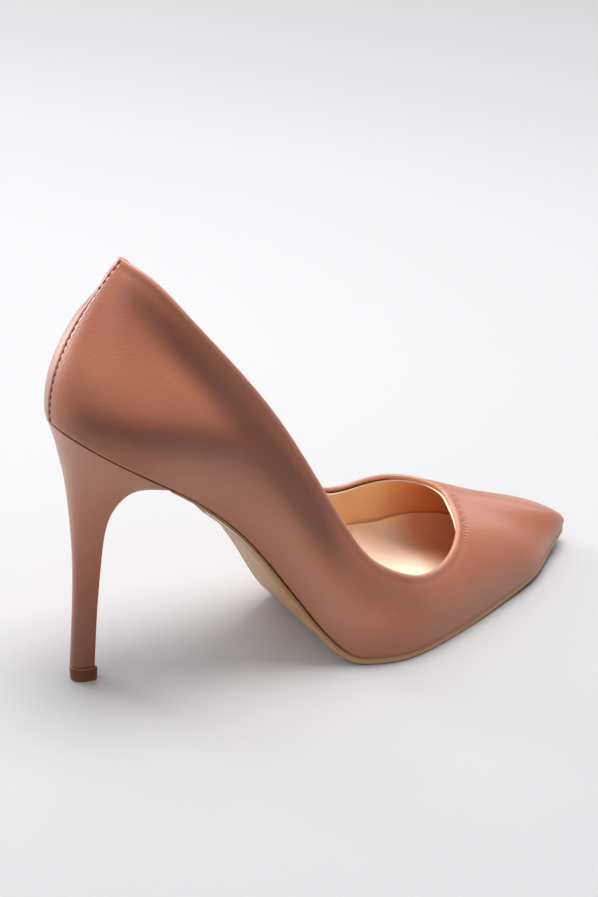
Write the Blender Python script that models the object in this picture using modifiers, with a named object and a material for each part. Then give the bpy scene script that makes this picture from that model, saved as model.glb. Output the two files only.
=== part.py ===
"""Pointed court shoe on a stiletto heel, right foot: upper, insole, outsole, covered heel and top lift.

Metres, +Z up, +X from heel to toe, +Y to the inner (medial) side of the foot. The shoe stands on Z = 0.
"""

import math
from collections import namedtuple

import bmesh
import bpy
import numpy as np

# Driving sizes of the last
LENGTH = 0.219  # places along the shoe are % of this; the shoe itself is 2 mm shorter
BALL_WIDTH = 0.0795  # bottom of the last across the ball, between its two widest places
HEEL_HEIGHT = 0.0976  # floor to the feather line at the back
INSTEP_HEIGHT = 0.0356  # floor to the topline at the throat
HEEL_WIDTH = 0.0465  # heel seat across its widest place
ARCH_LIFT = 0.004  # how much higher the waist runs on the inner side

# Thickness of the pieces and the gap where two of them meet
WALL = 0.0018
OUTSOLE = 0.0022
OUTSOLE_WAIST = 0.0016
INSOLE = 0.0024
TOP_LIFT = 0.0053
LIFT_TOE = 0.0008  # the lift reaches this far in front of the heel's breast
FIT = 0.0003
INSOLE_GAP = 0.00045  # between the insole's outline and the wall at its foot
INSOLE_TOE = 0.004  # the insole ends this far short of the point where its two edges would meet

# Fineness of the lofts
COLUMNS_PER_SECTION = 4
WALL_ROWS = 12
FOOT_EASE = 1.5  # how closely the rows of the wall gather at its foot, where it bends most
HEEL_LEVELS = 26
SEAT_STEPS = 14  # points from the lip to the back on each side of the heel seat
EDGE_STEPS = 400  # points along each edge of the bottom
CREASE_ANGLE = 40  # edges sharper than this many degrees stay sharp in shading

# One row for each wall line round the shoe. Its foot stands on the feather line and its top is on the
# topline, so the lines over the vamp run from the toe back to the throat. Along is % of length, out is % of
# ball width and minus on the outer side, rise is % of instep height for the vamp and % of heel height for the
# quarters. Flare is how far the wall leans out at its foot and lean how far it leans in at its top, in
# degrees; full is how long the wall keeps those directions, as % of its span.
Section = namedtuple("Section", "name foot_along foot_out top_along top_out top_rise flare lean full")

TOE_TIP = Section("toe tip", 100.0, 19.8, 73.6, 13.9, 100, 8, 72, 37)
VAMP_OUTER = [
    Section("toe side", 94.7, 3.7, 72.9, 4.4, 99, 9, 69, 39),
    Section("vamp", 87.5, -13.2, 71.6, -7.5, 96, 10, 64, 44),
    Section("throat side", 80.5, -23.3, 69.7, -18.9, 90, 10, 58, 48),
    Section("opening front", 73.0, -33.1, 67.1, -28.0, 83, 10, 48, 47),
    Section("opening side", 66.4, -41.1, 63.8, -35.4, 79, 11, 40, 46),
    Section("ball", 59.1, -48.8, 60.0, -41.7, 79.5, 12, 33, 44),
    Section("ball back", 51.8, -51.9, 54.3, -47.1, 90, 13, 24, 42),
]
VAMP_INNER = [
    Section("toe side", 95.0, 26.2, 73.0, 21.0, 101.5, 9, 70, 37),
    Section("vamp", 88.0, 31.9, 71.6, 27.5, 103, 10, 65, 39),
    Section("throat side", 80.5, 38.1, 69.7, 33.2, 103.5, 10, 57, 43),
    Section("opening front", 73.0, 44.1, 67.4, 38.7, 101.5, 10, 45, 50),
    Section("opening side", 66.4, 48.0, 64.8, 44.4, 95, 10, 27, 47),
    Section("ball", 60.0, 48.0, 61.4, 46.8, 90, 11, 17, 44),
    Section("ball back", 53.2, 42.4, 56.6, 45.6, 96, 12, 12, 42),
]
QUARTER_OUTER = [
    Section("joint", 45.9, -46.5, 49.1, -43.4, 39.4, 20, 16, 40),
    Section("arch", 40.9, -39.5, 45.2, -40.2, 51.5, 27, 12, 40),
    Section("waist", 34.5, -31.8, 40.9, -36.1, 69.6, 30, 9, 40),
    Section("shank", 26.3, -27.6, 34.7, -31.7, 94.9, 27, 9, 40),
    Section("breast", 17.1, -29.2, 26.7, -28.2, 120.1, 21, 12, 40),
    Section("heel side", 9.0, -28.4, 19.2, -22.0, 141.3, 16, 19, 40),
    Section("heel round", 3.6, -20.0, 15.1, -10.2, 152.4, 10, 34, 39),
]
QUARTER_INNER = [
    Section("joint", 47.3, 34.3, 52.2, 41.1, 43.9, 16, 10, 40),
    Section("arch", 40.9, 27.1, 46.5, 36.1, 55.5, 20, 8, 40),
    Section("waist", 34.5, 21.4, 41.8, 31.8, 72.7, 22, 8, 40),
    Section("shank", 26.3, 22.0, 34.9, 28.3, 96.9, 21, 8, 40),
    Section("breast", 17.1, 27.1, 26.7, 27.1, 121.1, 18, 11, 40),
    Section("heel side", 9.0, 28.2, 19.2, 21.8, 142.3, 15, 19, 40),
    Section("heel round", 3.6, 20.0, 15.1, 10.2, 152.4, 10, 34, 39),
]
BACK = Section("back", 1.0, 0.0, 13.1, 0.0, 155.9, 8, 46, 37)

# Places along the bottom, in % of length
HEEL_LIP = 16.2  # where the heel's breast meets the outsole
WAIST_START, WAIST_END = 30, 36  # between them the inner side of the waist has its full lift
BALL_START = 47.3  # where the flat of the tread begins

# Side view of the feather line: its slope at places along the shoe, joined by straight changes of slope.
Pitch = namedtuple("Pitch", "name along slope")
PITCHES = [
    Pitch("back", 0.0, -0.62),
    Pitch("heel lip", HEEL_LIP, -0.68),
    Pitch("shank", 26.3, -1.00),
    Pitch("waist", 33.6, -1.52),
    Pitch("steepest", 39.0, -1.56),
    Pitch("arch end", 42.7, -1.15),
    Pitch("ball", BALL_START, 0.0),
    Pitch("toe spring", 67.4, 0.0),
    Pitch("toe tip", 100.0, 0.16),
]

# Levels of the heel from its tip to the seat: where its back and its breast lie, along and rise in
# millimetres for a heel of this height, and its half width in % of the seat's.
Level = namedtuple("Level", "name back_along back_rise breast_along breast_rise half_width")
LEVELS = [
    Level("tip", 6.65, 5.6, 13.9, 5.6, 18),
    Level("lower shaft", 8.1, 28.0, 15.2, 28.4, 20),
    Level("middle", 8.6, 46.0, 16.7, 46.2, 23),
    Level("upper shaft", 8.1, 62.0, 18.1, 60.6, 33),
    Level("neck", 7.1, 75.5, 20.9, 69.6, 50),
    Level("flare", 5.7, 84.0, 24.7, 74.6, 68),
    Level("rim", 4.35, 91.0, 29.4, 76.2, 86),
]

# Rows of the two slabs along the shoe, closest where the sole bends most, in % of length
Run = namedtuple("Run", "name start end rows")
RUNS = [Run("heel to waist", 2, 38, 19), Run("arch end", 39, 50, 11), Run("tread to toe", 53, 95, 15)]
ROUND_END = 0.010  # the rows close up this near to a rounded end
ROUND_ROWS = 6

# Edges of the slabs, from the top down: depth in % of the thickness and inset from the outline in metres
Edge = namedtuple("Edge", "name depth inset")
OUTSOLE_EDGE = [
    Edge("top", 0, 0.0003),
    Edge("welt", 35, 0.0),
    Edge("turn", 75, 0.0003),
    Edge("tread", 100, 0.0012),
]
INSOLE_EDGE = [Edge("top", 0, 0.0004), Edge("turn", 35, -0.0001), Edge("bottom", 100, 0.0)]
OUTSOLE_INSET = 0.0004  # the outsole's outline lies this far inside the feather line
SEAT_INSET = 0.0002  # the same for the heel seat
SEAT_ROUND = 1.5  # how closely the points of the seat gather round its back

# Rings of the top lift from the floor up: height and size, in % of the lift's height and of the heel's tip
Ring = namedtuple("Ring", "name rise size")
LIFT_RINGS = [
    Ring("floor", 0, 95),
    Ring("lower edge", 8, 100),
    Ring("upper edge", 94, 102),
    Ring("joint", 100, 100),
]

Finish = namedtuple("Finish", "name colour roughness")
LEATHER = Finish("dusty rose leather", (0.39, 0.17, 0.11), 0.45)
SOCK = Finish("cream sock", (0.65, 0.38, 0.19), 0.6)
SOLE_SHEET = Finish("beige sole", (0.38, 0.24, 0.12), 0.5)
HEEL_COVER = Finish("heel cover", (0.36, 0.17, 0.11), 0.4)
LIFT_RUBBER = Finish("brown lift", (0.1, 0.045, 0.02), 0.5)


def smooth_step(low, high, value):
    """0 below low, 1 above high, with a soft change between them."""
    share = min(max((value - low) / (high - low), 0.0), 1.0)
    return share * share * (3 - 2 * share)


class Curve:
    """Smooth curve through values at rising knots; a period closes it."""

    def __init__(self, knots, values, period=None):
        knots, values = np.asarray(knots, float), np.asarray(values, float)
        if values.ndim == 1:
            values = values[:, None]
        if period:
            knots = np.append(knots, knots[0] + period)
            values = np.vstack([values, values[:1]])
        self.period, self.knots, self.values = period, knots, values
        self.bends = self.solve_bends()

    def solve_bends(self):
        """Second derivatives at the knots, from the usual equations of a cubic spline."""
        count = len(self.knots)
        span = np.diff(self.knots)
        rate = np.diff(self.values, axis=0) / span[:, None]
        left = np.eye(count)
        right = np.zeros_like(self.values)
        for i in range(1, count - 1):
            left[i, i - 1 : i + 2] = span[i - 1], 2 * (span[i - 1] + span[i]), span[i]
            right[i] = 6 * (rate[i] - rate[i - 1])
        if self.period:
            left[0, :2] = 2 * (span[-1] + span[0]), span[0]
            left[0, -2] = span[-1]
            right[0] = 6 * (rate[0] - rate[-1])
            left[-1, 0] = -1
        return np.linalg.solve(left, right)

    def locate(self, u):
        if self.period:
            u = self.knots[0] + (u - self.knots[0]) % self.period
        i = int(np.clip(np.searchsorted(self.knots, u, "right") - 1, 0, len(self.knots) - 2))
        return i, u - self.knots[i], self.knots[i + 1] - u, self.knots[i + 1] - self.knots[i]

    def at(self, u):
        i, done, left, span = self.locate(u)
        straight = (self.values[i] * left + self.values[i + 1] * done) / span
        before = self.bends[i] * (left**3 / span - left * span)
        after = self.bends[i + 1] * (done**3 / span - done * span)
        return straight + (before + after) / 6

    def direction(self, u):
        i, done, left, span = self.locate(u)
        straight = (self.values[i + 1] - self.values[i]) / span
        before = self.bends[i] * (span - 3 * left**2 / span)
        after = self.bends[i + 1] * (3 * done**2 / span - span)
        return straight + (before + after) / 6


def along(percent):
    return percent / 100 * LENGTH


def out(percent):
    return percent / 100 * BALL_WIDTH


def feather_rise(x):
    """Area under the table of slopes from x to the ball: how far the feather line lies above the tread."""
    places = [along(row.along) for row in PITCHES]
    slopes = [row.slope for row in PITCHES]
    ball = along(BALL_START)
    low, high = min(x, ball), max(x, ball)
    stops = [low] + [place for place in places if low < place < high] + [high]
    heights = np.interp(stops, places, slopes)
    area = sum((heights[i] + heights[i + 1]) / 2 * (stops[i + 1] - stops[i]) for i in range(len(stops) - 1))
    return area if x > ball else -area


TREAD_HEIGHT = OUTSOLE + FIT
PITCH_SCALE = (HEEL_HEIGHT - TREAD_HEIGHT) / feather_rise(along(BACK.foot_along))


def sole_height(x, y):
    """Height of the feather line, with the waist lifted on the inner side."""
    rise = feather_rise(x)
    if x < along(BALL_START):
        rise *= PITCH_SCALE
    begins = smooth_step(along(HEEL_LIP), along(WAIST_START), x)
    ends = smooth_step(along(WAIST_END), along(BALL_START), x)
    inner = np.clip(0.5 + y / HEEL_WIDTH, 0, 1)
    return TREAD_HEIGHT + rise + ARCH_LIFT * begins * (1 - ends) * inner


def sole_normal(x, y):
    """Unit vector that points up from the sole, in the side view."""
    step = 0.0005
    slope = (sole_height(x + step, y) - sole_height(x - step, y)) / (2 * step)
    return np.array([-slope, 0, 1]) / math.hypot(slope, 1)


def ring_knots(points):
    """Distance along a closed ring of points, back to the first."""
    steps = np.linalg.norm(np.diff(np.vstack([points, points[:1]]), axis=0), axis=1)
    return np.append(0, np.cumsum(steps))


def outward(ring, u):
    """Unit vector out of a ring that runs from the toe along the outer side, seen from above."""
    tangent = ring.direction(u)
    return np.array([-tangent[1], tangent[0], 0]) / math.hypot(tangent[0], tangent[1])


class Last:
    """The curves that every piece is taken from: feather line, topline and the shape of the walls."""

    def __init__(self):
        outer = VAMP_OUTER + QUARTER_OUTER
        inner = VAMP_INNER + QUARTER_INNER
        rows = [TOE_TIP] + outer + [BACK] + inner[::-1]
        self.count = len(rows)
        foot = np.array([[along(row.foot_along), out(row.foot_out)] for row in rows])
        self.knots = ring_knots(np.array([[x, y, sole_height(x, y)] for x, y in foot]))
        self.foot = Curve(self.knots[:-1], foot, self.knots[-1])
        self.foot_place = Curve(range(self.count + 1), self.knots)
        shape = [[row.flare, row.lean, row.full] for row in rows]
        self.shape = Curve(self.knots[:-1], shape, self.knots[-1])
        quarters = QUARTER_OUTER + QUARTER_INNER + [BACK]
        top = []
        for row in rows:
            unit = HEEL_HEIGHT if row in quarters else INSTEP_HEIGHT
            top.append([along(row.top_along), out(row.top_out), row.top_rise / 100 * unit])
        rim_knots = ring_knots(np.array(top))
        self.topline = Curve(rim_knots[:-1], top, rim_knots[-1])
        self.topline_place = Curve(range(self.count + 1), rim_knots)

    def wall(self, section):
        """Points of one wall line; the section number may lie between two rows."""
        u = float(self.foot_place.at(section)[0])
        v = float(self.topline_place.at(section)[0])
        x, y = self.foot.at(u)
        start = np.array([x, y, sole_height(x, y)])
        end = self.topline.at(v)
        flare, lean, full = self.shape.at(u)
        chord = end - start
        leave = wall_direction(chord, outward(self.foot, u), math.radians(flare))
        arrive = wall_direction(chord, outward(self.topline, v), -math.radians(lean))
        first = start + full / 100 * max(chord @ leave, 0) * leave
        second = end - full / 100 * max(chord @ arrive, 0) * arrive
        shares = np.linspace(0, 1, WALL_ROWS)[:, None] ** FOOT_EASE
        return (
            (1 - shares) ** 3 * start
            + 3 * (1 - shares) ** 2 * shares * first
            + 3 * (1 - shares) * shares**2 * second
            + shares**3 * end
        )

    def edges(self, inset):
        """Outer and inner edge of the bottom as tables of x and y, both moved in from the feather line."""
        found = []
        for low, high in ((0, self.knots[self.count // 2]), (self.knots[self.count // 2], self.knots[-1])):
            places = np.linspace(low, high, EDGE_STEPS)
            points = np.array([self.foot.at(u) - inset * outward(self.foot, u)[:2] for u in places])
            found.append(points[np.argsort(points[:, 0])])
        return found


def wall_direction(chord, outside, angle):
    """Unit vector up along the wall, turned by an angle to the outside."""
    up = chord - (chord @ outside) * outside
    up = up / np.linalg.norm(up)
    return math.cos(angle) * up + math.sin(angle) * outside


def add_object(mesh, finish):
    mesh.materials.append(add_material(finish))
    obj = bpy.data.objects.new(mesh.name, mesh)
    SHOE.objects.link(obj)
    obj.parent = FRAME
    return obj


def add_material(finish):
    material = bpy.data.materials.new(finish.name)
    material.use_nodes = True
    shader = material.node_tree.nodes["Principled BSDF"]
    shader.inputs["Base Color"].default_value = (*finish.colour, 1)
    shader.inputs["Roughness"].default_value = finish.roughness
    shader.inputs["Metallic"].default_value = 0.0
    return material


def mesh_from(name, build):
    """A mesh that a function fills, with doubles merged and smooth shading up to a crease angle."""
    bm = bmesh.new()
    build(bm)
    bmesh.ops.remove_doubles(bm, verts=bm.verts, dist=1e-6)
    mesh = bpy.data.meshes.new(name)
    bm.to_mesh(mesh)
    bm.free()
    mesh.shade_smooth()
    mesh.set_sharp_from_angle(angle=math.radians(CREASE_ANGLE))
    return mesh


def loft_mesh(name, rings):
    """Closed skin through rings with the same number of points, with rows of quads across both ends.

    Each ring runs out along one side and back along the other, so its points pair up across it.
    """

    def build(bm):
        loops = [[bm.verts.new(point) for point in ring] for ring in rings]
        count = len(loops[0])
        for low, high in zip(loops, loops[1:]):
            for i in range(count):
                j = (i + 1) % count
                bm.faces.new((low[i], low[j], high[j], high[i]))
        for loop, flip in ((loops[0], True), (loops[-1], False)):
            for i in range(count // 2 - 1):
                corners = [loop[i], loop[i + 1], loop[count - 2 - i], loop[count - 1 - i]]
                bm.faces.new(corners[::-1] if flip else corners)
        bmesh.ops.recalc_face_normals(bm, faces=bm.faces)

    return mesh_from(name, build)


def build_upper(last):
    """One hollow wall, open at the collar and underneath."""
    sections = np.arange(last.count * COLUMNS_PER_SECTION) / COLUMNS_PER_SECTION

    def build(bm):
        columns = [[bm.verts.new(point) for point in last.wall(section)] for section in sections]
        for column, after in zip(columns, columns[1:] + columns[:1]):
            for row in range(WALL_ROWS - 1):
                bm.faces.new((column[row], column[row + 1], after[row + 1], after[row]))

    upper = add_object(mesh_from("upper", build), LEATHER)
    wall = upper.modifiers.new("wall", "SOLIDIFY")
    wall.thickness = WALL
    wall.offset = -1
    wall.use_even_offset = True
    wall.use_rim = True
    return upper


def stations(start, end, round_start):
    """Places along a slab: the shared rows, and rows that close up where its outline turns round an end."""
    shared = np.concatenate([np.linspace(along(run.start), along(run.end), run.rows) for run in RUNS])
    closing = ROUND_END * (np.arange(ROUND_ROWS + 1) / ROUND_ROWS) ** 2
    begins = start + closing if round_start else np.array([start])
    ends = end - closing
    spare = (closing[-1] - closing[-2]) / 2
    inside = shared[(shared > begins[-1] + spare) & (shared < ends[-1] - spare)]
    return np.concatenate([begins, inside, ends[::-1]])


def edge_at(edge, x):
    return float(np.interp(x, edge[:, 0], edge[:, 1]))


def slab_ring(x, outer, inner, top, thick, edge_rows):
    """Section of a slab whose top lies this far above the feather line."""
    outer_side, inner_side = [], []
    half = (edge_at(inner, x) - edge_at(outer, x)) / 2
    for row in edge_rows:
        inset = min(row.inset, half - FIT / 2)
        rise = top - row.depth / 100 * thick
        for points, y in ((outer_side, edge_at(outer, x) + inset), (inner_side, edge_at(inner, x) - inset)):
            points.append(np.array([x, y, sole_height(x, y)]) + rise * sole_normal(x, y))
    return outer_side + inner_side[::-1]


def build_outsole(last):
    """From the heel's lip to the toe, flat under the ball, thinner at the waist, its lower edge rounded."""
    outer, inner = last.edges(OUTSOLE_INSET)
    start, end = along(HEEL_LIP) + FIT, min(outer[-1, 0], inner[-1, 0])
    rings = []
    for x in stations(start, end, round_start=False):
        waist = 1 - smooth_step(along(WAIST_START), along(BALL_START), x)
        thick = OUTSOLE + (OUTSOLE_WAIST - OUTSOLE) * waist
        rings.append(slab_ring(x, outer, inner, -FIT, thick, OUTSOLE_EDGE))
    return add_object(loft_mesh("outsole", rings), SOLE_SHEET)


def build_insole(last):
    """Inside the wall, from the heel to the toe."""
    outer, inner = last.edges(WALL + INSOLE_GAP)
    start, end = max(outer[0, 0], inner[0, 0]), min(outer[-1, 0], inner[-1, 0]) - INSOLE_TOE
    places = stations(start, end, round_start=True)
    rings = [slab_ring(x, outer, inner, INSOLE, INSOLE, INSOLE_EDGE) for x in places]
    return add_object(loft_mesh("insole", rings), SOCK)


def seat_outline(last):
    """Outline of the heel seat from the outer lip round the back to the inner lip, as shares of its size."""
    outer, inner = last.edges(SEAT_INSET)
    back, lip = outer[0, 0], along(HEEL_LIP)
    depth = np.cos(np.linspace(0, math.pi / 2, SEAT_STEPS)) ** SEAT_ROUND
    half = HEEL_WIDTH / 2
    side = [(share, back + share * (lip - back)) for share in depth[:-1]]
    points = [(share, edge_at(outer, x) / half) for share, x in side]
    points += [(share, edge_at(inner, x) / half) for share, x in reversed(side)]
    return back, lip, points


def build_heel(last):
    """Loft from the small tip to the heel seat, with a hollow breast and a thin lip under the waist."""
    back, lip, outline = seat_outline(last)
    half = HEEL_WIDTH / 2
    rows = [[v / 1000 for v in row[1:5]] + [row.half_width / 100] for row in LEVELS]
    rows.append([back, sole_height(back, 0), lip, sole_height(lip, 0), 1.0])
    height = [(row[1] + row[3]) / 2 for row in rows]
    breast = [row[2] for row in rows]
    steps = np.hypot(np.diff(height), np.diff(breast))
    levels = Curve(np.append(0, np.cumsum(steps)), rows)
    rings = []
    for place in np.linspace(0, levels.knots[-1], HEEL_LEVELS):
        back_x, back_z, breast_x, breast_z, width = levels.at(place)
        rings.append([
            (back_x + share * (breast_x - back_x), side * half * width, back_z + share * (breast_z - back_z))
            for share, side in outline
        ])
    rings[-1] = [(x, y, sole_height(x, y) - FIT) for x, y, z in rings[-1]]
    return add_object(loft_mesh("heel", rings), HEEL_COVER)


def build_top_lift(last):
    """The small hard foot under the heel, flat on the floor."""
    tip = LEVELS[0]
    outline = seat_outline(last)[2]
    half = HEEL_WIDTH / 2 * tip.half_width / 100
    depth = (tip.breast_along - tip.back_along) / 1000 + LIFT_TOE
    centre = tip.back_along / 1000 + depth / 2
    rings = []
    for row in LIFT_RINGS:
        rise, size = row.rise / 100 * TOP_LIFT, row.size / 100
        rings.append([
            (centre + size * depth * (share - 0.5), size * side * half, rise) for share, side in outline
        ])
    return add_object(loft_mesh("top_lift", rings), LIFT_RUBBER)


def centre_on_floor():
    """Moves the whole shoe so that its origin is the middle of its footprint."""
    bpy.context.view_layer.update()
    graph = bpy.context.evaluated_depsgraph_get()
    corners = []
    for obj in SHOE.objects:
        if obj.type == "MESH":
            corners += [obj.matrix_world @ vert.co for vert in obj.evaluated_get(graph).data.vertices]
    points = np.array(corners)
    middle = (points.min(axis=0) + points.max(axis=0)) / 2
    FRAME.location = (-middle[0], -middle[1], 0)


for old in list(bpy.data.objects):
    bpy.data.objects.remove(old, do_unlink=True)
SHOE = bpy.data.collections.new("stiletto heel")
bpy.context.scene.collection.children.link(SHOE)
FRAME = bpy.data.objects.new("shoe_frame", None)
SHOE.objects.link(FRAME)

LAST = Last()
build_upper(LAST)
build_insole(LAST)
build_outsole(LAST)
build_heel(LAST)
build_top_lift(LAST)
centre_on_floor()
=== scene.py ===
# %% [markdown]
# A pointed court shoe on a stiletto heel, for the right foot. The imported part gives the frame: five solids
# in metres, with the toe along +X, the inner side of the foot along +Y and the floor at Z = 0. This lesson
# dresses them: a folded leather upper, a tan lining, a cream sock, a thin sole, a covered heel and its top
# lift. Five finished pieces stand for one solid each and keep to its size within half a millimetre. The
# lining and a row of stitches are added to them.

# %% Load the frame
import math
from collections import namedtuple

import bmesh
import bpy
import numpy as np
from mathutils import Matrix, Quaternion, Vector


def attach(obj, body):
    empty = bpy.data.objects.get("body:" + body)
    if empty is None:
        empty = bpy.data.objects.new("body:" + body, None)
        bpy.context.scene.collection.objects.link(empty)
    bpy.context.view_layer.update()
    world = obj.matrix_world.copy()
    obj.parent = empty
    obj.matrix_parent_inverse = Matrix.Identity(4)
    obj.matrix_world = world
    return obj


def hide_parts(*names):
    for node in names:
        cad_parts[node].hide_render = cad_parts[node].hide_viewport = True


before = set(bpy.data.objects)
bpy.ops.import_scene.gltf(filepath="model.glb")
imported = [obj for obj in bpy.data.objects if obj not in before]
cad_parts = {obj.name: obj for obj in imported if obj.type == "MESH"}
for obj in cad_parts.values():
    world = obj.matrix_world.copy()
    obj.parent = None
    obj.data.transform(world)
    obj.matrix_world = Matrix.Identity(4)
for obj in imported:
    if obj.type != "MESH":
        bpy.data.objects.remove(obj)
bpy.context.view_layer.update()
MM = 0.001
print("frame holds", sorted(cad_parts))

# %% [markdown]
# A shoe is shaped on a last, so its walls follow from a few named lines. The table has one row for each wall
# line round the shoe, from its foot on the feather line, where upper and sole meet, to its top on the
# topline. The same rows shape the solids. They are kept here as well, because a finer skin with folds and
# seams needs the smooth lines themselves, and a subdivided copy of the solid would wrinkle at its facets.

# %% Sizes of the last
LENGTH = 0.219  # places along the shoe are % of this
BALL_WIDTH = 0.0795
HEEL_HEIGHT = 0.0976  # floor to the feather line at the back
INSTEP_HEIGHT = 0.0356  # floor to the topline at the throat
HEEL_WIDTH = 0.0465
ARCH_LIFT = 0.004  # how much higher the waist runs on the inner side
OUTSOLE = 0.0022
OUTSOLE_WAIST = 0.0016
TREAD_HEIGHT = OUTSOLE + 0.0003
HEEL_LIP, WAIST_START, WAIST_END, BALL_START = 16.2, 30, 36, 47.3  # % of length
print("last of", LENGTH / MM, "mm, heel", round(HEEL_HEIGHT / MM, 1), "mm")

# %% Wall lines of the last
# Along is % of length, out is % of ball width and minus on the outer side, rise is % of instep height on the
# vamp and % of heel height behind it. Flare and lean are degrees at foot and top; full is % of the span.
Section = namedtuple("Section", "name foot_along foot_out top_along top_out top_rise flare lean full")
TOE_TIP = Section("toe tip", 100.0, 19.8, 73.6, 13.9, 100, 8, 72, 37)
VAMP_OUTER = [
    Section("toe side", 94.7, 3.7, 72.9, 4.4, 99, 9, 69, 39),
    Section("vamp", 87.5, -13.2, 71.6, -7.5, 96, 10, 64, 44),
    Section("throat side", 80.5, -23.3, 69.7, -18.9, 90, 10, 58, 48),
    Section("opening front", 73.0, -33.1, 67.1, -28.0, 83, 10, 48, 47),
    Section("opening side", 66.4, -41.1, 63.8, -35.4, 79, 11, 40, 46),
    Section("ball", 59.1, -48.8, 60.0, -41.7, 79.5, 12, 33, 44),
    Section("ball back", 51.8, -51.9, 54.3, -47.1, 90, 13, 24, 42),
]
VAMP_INNER = [
    Section("toe side", 95.0, 26.2, 73.0, 21.0, 101.5, 9, 70, 37),
    Section("vamp", 88.0, 31.9, 71.6, 27.5, 103, 10, 65, 39),
    Section("throat side", 80.5, 38.1, 69.7, 33.2, 103.5, 10, 57, 43),
    Section("opening front", 73.0, 44.1, 67.4, 38.7, 101.5, 10, 45, 50),
    Section("opening side", 66.4, 48.0, 64.8, 44.4, 95, 10, 27, 47),
    Section("ball", 60.0, 48.0, 61.4, 46.8, 90, 11, 17, 44),
    Section("ball back", 53.2, 42.4, 56.6, 45.6, 96, 12, 12, 42),
]
QUARTER_OUTER = [
    Section("joint", 45.9, -46.5, 49.1, -43.4, 39.4, 20, 16, 40),
    Section("arch", 40.9, -39.5, 45.2, -40.2, 51.5, 27, 12, 40),
    Section("waist", 34.5, -31.8, 40.9, -36.1, 69.6, 30, 9, 40),
    Section("shank", 26.3, -27.6, 34.7, -31.7, 94.9, 27, 9, 40),
    Section("breast", 17.1, -29.2, 26.7, -28.2, 120.1, 21, 12, 40),
    Section("heel side", 9.0, -28.4, 19.2, -22.0, 141.3, 16, 19, 40),
    Section("heel round", 3.6, -20.0, 15.1, -10.2, 152.4, 10, 34, 39),
]
QUARTER_INNER = [
    Section("joint", 47.3, 34.3, 52.2, 41.1, 43.9, 16, 10, 40),
    Section("arch", 40.9, 27.1, 46.5, 36.1, 55.5, 20, 8, 40),
    Section("waist", 34.5, 21.4, 41.8, 31.8, 72.7, 22, 8, 40),
    Section("shank", 26.3, 22.0, 34.9, 28.3, 96.9, 21, 8, 40),
    Section("breast", 17.1, 27.1, 26.7, 27.1, 121.1, 18, 11, 40),
    Section("heel side", 9.0, 28.2, 19.2, 21.8, 142.3, 15, 19, 40),
    Section("heel round", 3.6, 20.0, 15.1, 10.2, 152.4, 10, 34, 39),
]
BACK = Section("back", 1.0, 0.0, 13.1, 0.0, 155.9, 8, 46, 37)
QUARTERS = QUARTER_OUTER + [BACK] + QUARTER_INNER[::-1]
WALL_LINES = [TOE_TIP] + VAMP_OUTER + QUARTERS + VAMP_INNER[::-1]
COUNT = len(WALL_LINES)
BACK_LINE = WALL_LINES.index(BACK)
print(COUNT, "wall lines, the back is number", BACK_LINE)

# %% [markdown]
# The rows are joined by cubic curves. Blender has no such curve for tables of any width, so a short class
# solves the usual equations once and then reads many places at a time with numpy.


# %% Curves through the rows
class Curve:
    """Smooth curve through values at rising knots; a closed one repeats its first value at the end."""

    def __init__(self, knots, values, closed=False):
        self.knots = np.asarray(knots, float)
        self.closed = closed
        self.values = np.asarray(values, float).reshape(len(self.knots), -1)
        span = np.diff(self.knots)
        rate = np.diff(self.values, axis=0) / span[:, None]
        left, right = np.eye(len(self.knots)), np.zeros_like(self.values)
        for i in range(1, len(span)):
            left[i, i - 1 : i + 2] = span[i - 1], 2 * (span[i - 1] + span[i]), span[i]
            right[i] = 6 * (rate[i] - rate[i - 1])
        if closed:
            left[0, 0], left[0, 1], left[0, -2] = 2 * (span[-1] + span[0]), span[0], span[-1]
            right[0] = 6 * (rate[0] - rate[-1])
            left[-1, 0] = -1
        self.bends = np.linalg.solve(left, right)

    def pieces(self, places):
        places = np.atleast_1d(np.asarray(places, float))
        if self.closed:
            places = places % self.knots[-1]
        i = np.clip(np.searchsorted(self.knots, places, "right") - 1, 0, len(self.knots) - 2)
        span = (self.knots[i + 1] - self.knots[i])[:, None]
        done = (places - self.knots[i])[:, None]
        return i, done, span - done, span

    def at(self, places):
        i, done, left, span = self.pieces(places)
        straight = (self.values[i] * left + self.values[i + 1] * done) / span
        before = self.bends[i] * (left**3 / span - left * span)
        after = self.bends[i + 1] * (done**3 / span - done * span)
        return straight + (before + after) / 6

    def direction(self, places):
        i, done, left, span = self.pieces(places)
        straight = (self.values[i + 1] - self.values[i]) / span
        before = self.bends[i] * (span - 3 * left**2 / span)
        after = self.bends[i + 1] * (3 * done**2 / span - span)
        return straight + (before + after) / 6


print("halfway along a straight row:", Curve([0, 1, 2], [0, 1, 2]).at(1.5)[0, 0])


# %% Soft steps and humps
def ease(low, high, value):
    """0 below low, 1 above high, with a soft change between them."""
    share = np.clip((value - low) / (high - low), 0, 1)
    return share * share * (3 - 2 * share)


def swell(value, centre, width):
    """A soft hump of height 1."""
    return np.exp(-(((value - centre) / width) ** 2))


print("a hump of width 2 falls to", round(float(swell(2, 0, 2)), 2), "at 2")

# %% [markdown]
# The bottom of the last in the side view is a table of slopes: steep at the waist, flat under the ball, a
# little toe spring. Adding the slopes up gives its height. The inner side of the waist lies a little higher.

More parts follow.
